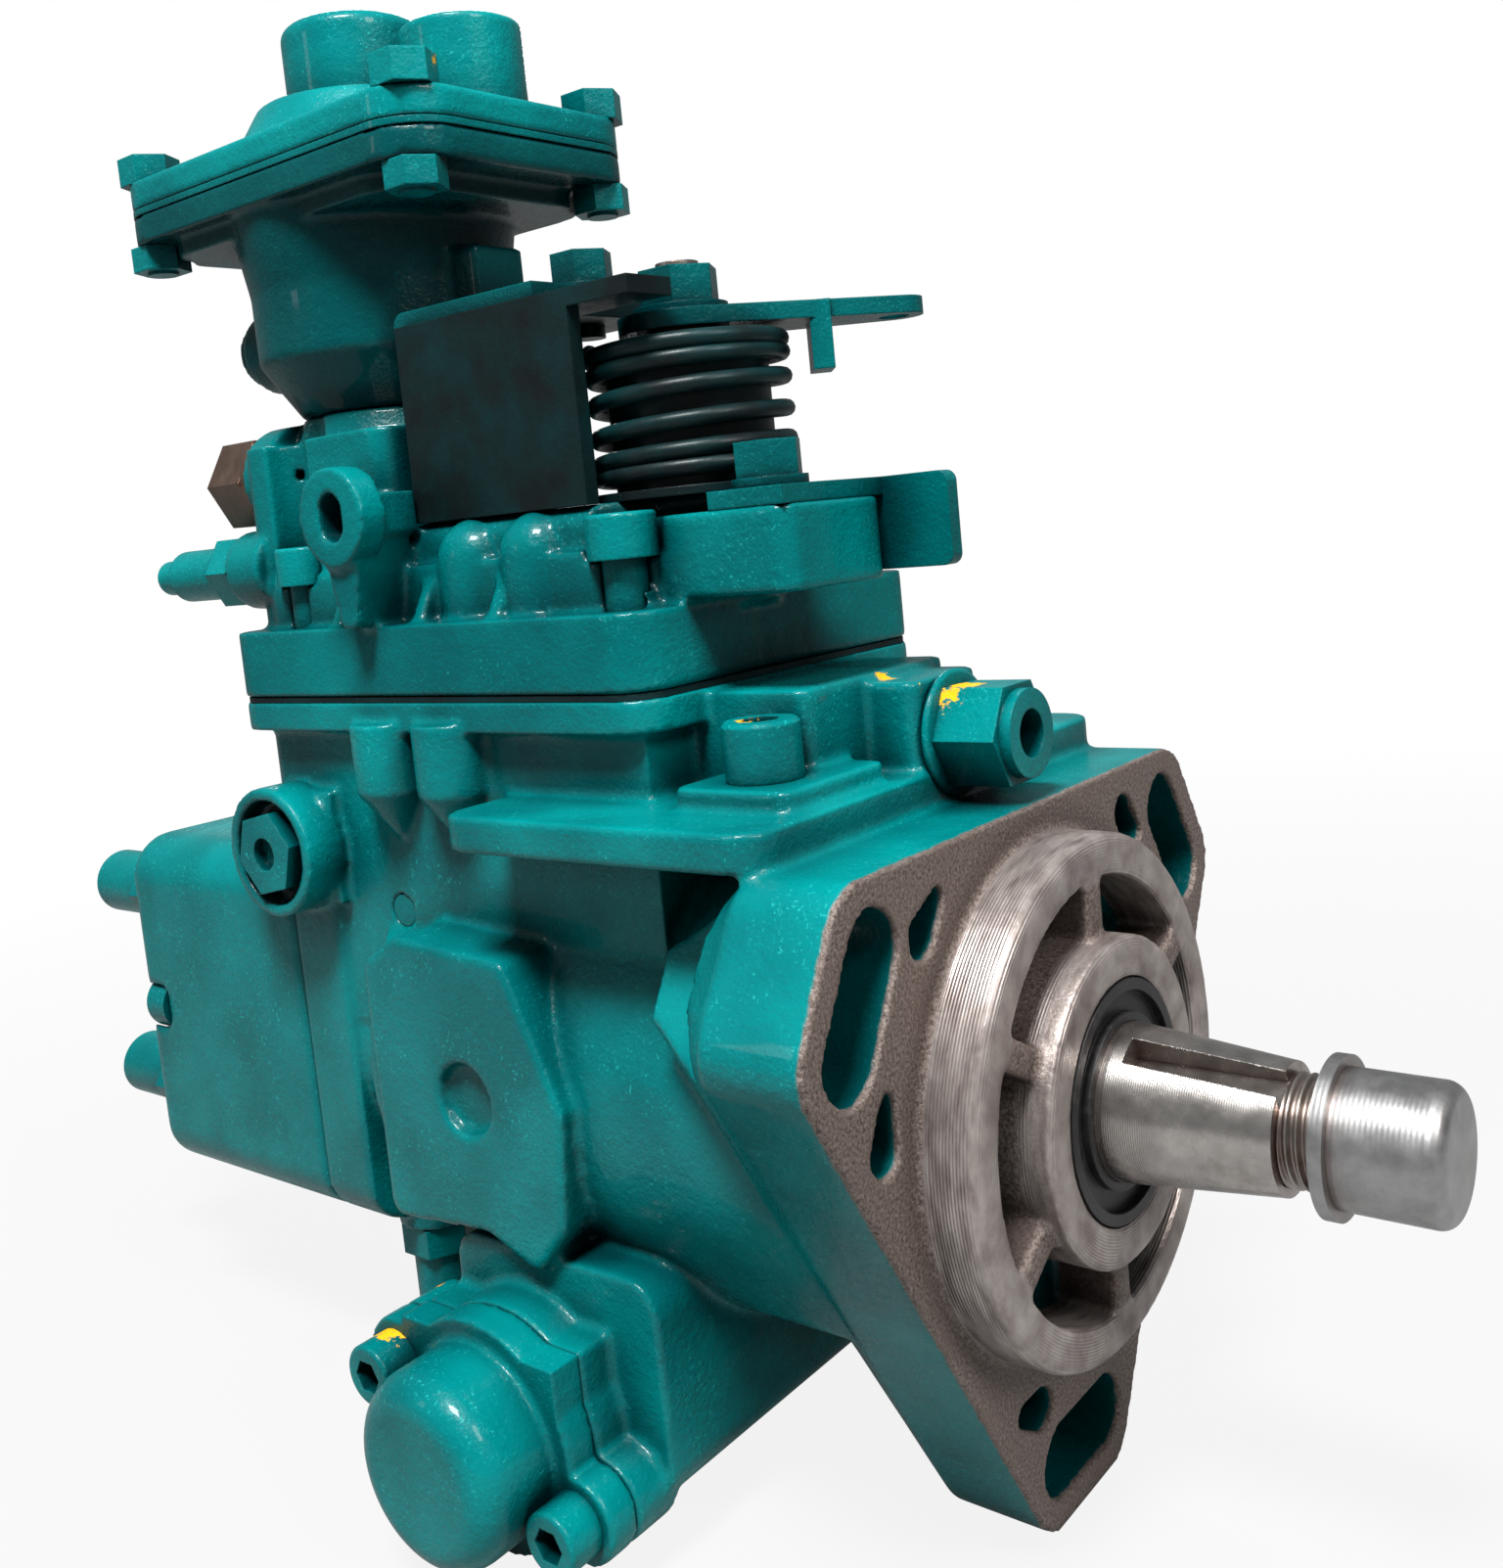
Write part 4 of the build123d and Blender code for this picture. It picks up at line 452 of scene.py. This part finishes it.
def turned_piece(name, profile, centre, along=Z, sides=72, arc=None):
    """A turned shape: each (radius, height) of the profile goes once round the axis through centre."""
    profile = np.asarray(profile, dtype=float)
    turn = np.linspace(0.0, 2 * pi, sides, endpoint=False)
    radius, height = profile[:, 0][:, None], profile[:, 1][:, None]
    first = radius * np.cos(turn)
    second = radius * np.sin(turn)
    level = height + 0.0 * turn
    order = {Z: (first, second, level), X: (level, first, second), Y: (second, level, first)}[along]
    points = np.stack(order, axis=2) * MM + np.asarray(centre) * MM
    return grid_piece(name, points, wrap_v=True, close_u=True)


def dress(obj, material, body):
    obj.data.materials.clear()
    obj.data.materials.append(material)
    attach(obj, body)
    return obj


# Castings softened from their CAD solids

def settled(obj):
    """The object's mesh with its modifiers applied, as a new mesh."""
    graph = bpy.context.evaluated_depsgraph_get()
    return bpy.data.meshes.new_from_object(obj.evaluated_get(graph))


def casting(node, body, material, cell_mm, sharp=None, ratio=1.0, rounds=3):
    """Rebuilds a CAD solid's skin on a cubic grid and relaxes it, which rounds its corners like a casting's.
    Where the sharp function of the points (in mm) says 1, the skin stays close to the solid, as machined."""
    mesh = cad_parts[node].data.copy()
    work = bmesh.new()
    work.from_mesh(mesh)
    bmesh.ops.remove_doubles(work, verts=work.verts, dist=0.02 * MM)
    work.to_mesh(mesh)
    work.free()
    obj = bpy.data.objects.new(node + "_casting", mesh)
    bpy.context.scene.collection.objects.link(obj)
    grid = obj.modifiers.new("grid", "REMESH")
    grid.mode = "VOXEL"
    grid.voxel_size = cell_mm * MM * 1.0
    obj.data = settled(obj)
    obj.modifiers.clear()
    relax = obj.modifiers.new("relax", "SMOOTH")
    relax.factor = 0.5
    relax.iterations = 2
    crisp = settled(obj)
    relax.iterations = rounds
    soft = settled(obj)
    obj.modifiers.clear()
    count = len(soft.vertices)
    near = np.empty(count * 3)
    far = np.empty(count * 3)
    crisp.vertices.foreach_get("co", near)
    soft.vertices.foreach_get("co", far)
    near = near.reshape(-1, 3)
    far = far.reshape(-1, 3)
    weight = np.zeros(count) if sharp is None else sharp(near / MM)
    mixed = near * weight[:, None] + far * (1.0 - weight[:, None])
    soft.vertices.foreach_set("co", mixed.ravel())
    obj.data = soft
    if ratio < 1.0:
        fewer = obj.modifiers.new("fewer", "DECIMATE")
        fewer.ratio = ratio
        obj.data = settled(obj)
        obj.modifiers.clear()
    obj.data.shade_smooth()
    dress(obj, material, body)
    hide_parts(node)
    return obj


def front_is_machined(p):
    """Machined where x is ahead of the mounting face, blending over a millimetre."""
    return np.clip((p[:, 0] + 1.6) / 1.0, 0.0, 1.0)


# Throttle return spring

SPRING_AT = (-45.0, -7.0)
SPRING_R = 13.4
SPRING_WIRE = 1.2
SPRING_LOW = 84.6
SPRING_HIGH = 103.0
SPRING_TURNS = 6.6


def throttle_spring(material):
    """A coil: the angle runs evenly, the height rises faster in the middle than at the closed ends."""
    t = np.linspace(0.0, 1.0, 420)
    turn = t * SPRING_TURNS * 2 * pi
    rise = t - 0.10 * np.sin(2 * pi * t)
    path = np.stack([SPRING_AT[0] + SPRING_R * np.cos(turn), SPRING_AT[1] + SPRING_R * np.sin(turn),
                     SPRING_LOW + (SPRING_HIGH - SPRING_LOW) * rise], axis=1)
    obj = tube_along("throttle_return_coil", path * MM, SPRING_WIRE * MM, 12)
    dress(obj, material, "housing")
    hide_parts("return_spring")


# Stud thread

def stud_thread(material):
    """A thread on the shaft's neck: the radius swings from root to crest as a wave of length minus turn."""
    length = np.linspace(31.2, 35.4, 60)[:, None]
    turn = np.linspace(0.0, 2 * pi, 96, endpoint=False)[None, :]
    radius = 6.55 + 0.33 * np.sin(2 * pi * length / 1.25 - turn)
    points = np.stack([length + 0.0 * turn, radius * np.cos(turn), radius * np.sin(turn)], axis=2)
    obj = grid_piece("stud_thread", points * MM, wrap_v=True, close_u=True)
    dress(obj, material, "drive")


# Inlet washer

def inlet_washer(material):
    """A thin ring with rounded rims, as a closed profile turned about X."""
    profile = [(5.3, -12.4), (8.0, -12.4), (8.6, -12.1), (8.6, -11.6), (8.0, -11.3), (5.3, -11.3)]
    obj = turned_piece("inlet_washer", profile, (0.0, 2.0, 47.0), X)
    dress(obj, material, "housing")


# Floor and light

RAY_KINDS = ("Camera", "Glossy", "Transmission")


def make_stage():
    """A pale floor that the camera sees as nearly white, and that catches a faint shadow."""
    data = bpy.data.meshes.new("floor")
    reach = 3.0
    level = cad_box[0][2] - 0.0012
    corners = [(-reach, -reach), (reach, -reach), (reach, reach), (-reach, reach)]
    data.from_pydata([(*corner, level) for corner in corners], [], [(0, 1, 2, 3)])
    floor = bpy.data.objects.new("floor", data)
    bpy.context.scene.collection.objects.link(floor)
    material = bpy.data.materials.new("pale_floor")
    material.use_nodes = True
    tree = material.node_tree
    tree.nodes.clear()
    matt = tree.nodes.new("ShaderNodeBsdfDiffuse")
    matt.inputs["Color"].default_value = (0.28, 0.28, 0.28, 1.0)
    white = tree.nodes.new("ShaderNodeEmission")
    white.inputs["Color"].default_value = (1.0, 1.0, 1.0, 1.0)
    mixed = tree.nodes.new("ShaderNodeMixShader")
    path = tree.nodes.new("ShaderNodeLightPath")
    seen, gloss, clear = [Field(tree, path.outputs["Is " + kind + " Ray"]) for kind in RAY_KINDS]
    place = tree.nodes.new("ShaderNodeTexCoord")
    away = tree.nodes.new("ShaderNodeVectorMath")
    away.operation = "LENGTH"
    tree.links.new(place.outputs["Object"], away.inputs[0])
    distance = Field(tree, away.outputs["Value"])
    share = (seen + gloss * 0.12 + clear).clip() * (0.88 + distance.rise(0.2, 0.6) * 0.12)
    tree.links.new(share.socket, mixed.inputs[0])
    tree.links.new(matt.outputs[0], mixed.inputs[1])
    tree.links.new(white.outputs[0], mixed.inputs[2])
    end = tree.nodes.new("ShaderNodeOutputMaterial")
    tree.links.new(mixed.outputs[0], end.inputs["Surface"])
    data.materials.append(material)


def make_world():
    """White to the camera, and a soft grey that lights the object from all round."""
    world = bpy.data.worlds.new("studio")
    bpy.context.scene.world = world
    world.use_nodes = True
    tree = world.node_tree
    tree.nodes.clear()
    white = tree.nodes.new("ShaderNodeBackground")
    white.inputs["Color"].default_value = (1.0, 1.0, 1.0, 1.0)
    room = tree.nodes.new("ShaderNodeBackground")
    room.inputs["Color"].default_value = (0.86, 0.93, 1.0, 1.0)
    room.inputs["Strength"].default_value = WORLD_LEVEL
    path = tree.nodes.new("ShaderNodeLightPath")
    camera, gloss, clear = [Field(tree, path.outputs["Is " + kind + " Ray"]) for kind in RAY_KINDS]
    seen = (camera + gloss * 0.15 + clear).clip()
    mixed = tree.nodes.new("ShaderNodeMixShader")
    tree.links.new(seen.socket, mixed.inputs[0])
    tree.links.new(room.outputs[0], mixed.inputs[1])
    tree.links.new(white.outputs[0], mixed.inputs[2])
    end = tree.nodes.new("ShaderNodeOutputWorld")
    tree.links.new(mixed.outputs[0], end.inputs["Surface"])


def lamp(name, at, aim, size, power, tint=(1.0, 1.0, 1.0)):
    data = bpy.data.lights.new(name, "AREA")
    data.shape = "RECTANGLE"
    data.size, data.size_y = size
    data.energy = power
    data.color = tint
    obj = bpy.data.objects.new(name, data)
    obj.location = at
    obj.rotation_euler = (Vector(aim) - Vector(at)).to_track_quat("-Z", "Y").to_euler()
    bpy.context.scene.collection.objects.link(obj)


WORLD_LEVEL = 0.08


def make_lights():
    aim = (-0.06, 0.0, 0.03)
    lamp("overhead", (0.10, -0.36, 0.80), aim, (0.24, 0.18), 15.0)
    lamp("front_left", (-0.55, -0.75, 0.35), aim, (0.1, 0.2), 0.3)
    lamp("shaft_side", (0.62, -0.12, 0.62), aim, (0.2, 0.3), 4.0, (1.0, 0.95, 0.92))
    lamp("behind", (-0.75, 0.62, 0.55), (-0.12, 0.0, 0.02), (0.3, 0.3), 5.0)


# Which finish each node has

def dress_nodes(finishes):
    for node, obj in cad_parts.items():
        material = finishes.get(node, finishes["steel"])
        obj.data.materials.clear()
        obj.data.materials.append(material)


def make_pump():
    plain = enamel("teal_enamel")
    fitting = enamel("teal_enamel_on_fittings", round_mm=0.4)
    dark = dark_steel("dark_coated_steel")
    coil = dark_steel("black_spring_wire", rough=0.42, round_mm=0.0)
    turned = steel("turned_steel")
    inlet_chips = (((-10.0, -4.0, 54.0), 2.8), ((-9.5, 1.0, 54.2), 2.4))
    valve_chips = (((-23.5, -26.5, 53.4), 2.2),)
    boost_chips = (((-74.5, -23.5, 146.5), 2.6),)
    timing_chips = (((-82.0, -50.0, -32.5), 2.6),)
    finishes = {
        "steel": turned,
        "drive_shaft": steel("shaft_steel", (0.58, 0.55, 0.52), stain=0.25, rough=0.22),
        "shaft_cap": steel("spun_aluminium_cap", (0.45, 0.45, 0.45), 0.6, 0.12, 0.34, round_mm=0.0),
        "shaft_seal": rubber("seal_rubber"),
        "rear_plug": steel("browned_hexagon_plug", (0.20, 0.14, 0.11), 0.5, 0.5, 0.5),
        "cover_gasket": dark_steel("gasket_edge", rough=0.6, round_mm=0.0),
        "delivery_holders": enamel("teal_enamel_on_holders", round_mm=0.4),
        "inlet_fitting": enamel("teal_enamel_on_inlet", inlet_chips, round_mm=0.4),
        "regulating_valve": enamel("teal_enamel_on_valve", valve_chips, round_mm=0.4),
        "boost_bolts": enamel("teal_enamel_on_boost_bolts", boost_chips, round_mm=0.4),
        "timing_bolts": enamel("teal_enamel_on_timing_bolts", timing_chips, round_mm=0.4),
    }
    # Painted shade: the governor cover's enamel is darkened a little throughout.
    cover_enamel_in_painted_shade = enamel("teal_enamel_on_cover", painted_shade=0.18)
    # Painted shade: the boost housing's enamel is darkened throughout, as if in shadow.
    boost_enamel_in_painted_shade = enamel("shaded_teal_enamel", painted_shade=0.72)
    # Painted shade: the sheet-steel lever, brackets, nut, bolts and diaphragm are darkened throughout.
    shaded = enamel("teal_on_sheet_steel_in_painted_shade", painted_shade=0.45, round_mm=0.4)
    for node in ("head_bolts", "cover_bolts", "side_plug", "return_valve", "full_load_screw",
                 "head_plug", "lever_pin"):
        finishes[node] = fitting
    for node in ("bent_plate", "throttle_lever", "lever_nut", "bracket_bolts", "tab_bracket",
                 "diaphragm"):
        finishes[node] = shaded
    for node in ("cable_bracket", "throttle_bush"):
        finishes[node] = dark
    dress_nodes(finishes)
    casting("pump_housing", "housing", housing_finish(), 0.6, front_is_machined, 0.42)
    casting("governor_cover", "housing", cover_enamel_in_painted_shade, 0.55, ratio=0.7)
    casting("boost_housing", "housing", boost_enamel_in_painted_shade, 0.6, rounds=4)
    casting("boost_cover", "housing", plain, 0.55)
    casting("distributor_head", "housing", plain, 0.8)
    casting("timing_covers", "housing", plain, 0.5)
    throttle_spring(coil)
    stud_thread(turned)
    inlet_washer(fitting)


bpy.context.scene.view_settings.view_transform = "Standard"
make_camera()
make_world()
make_stage()
make_lights()
make_pump()
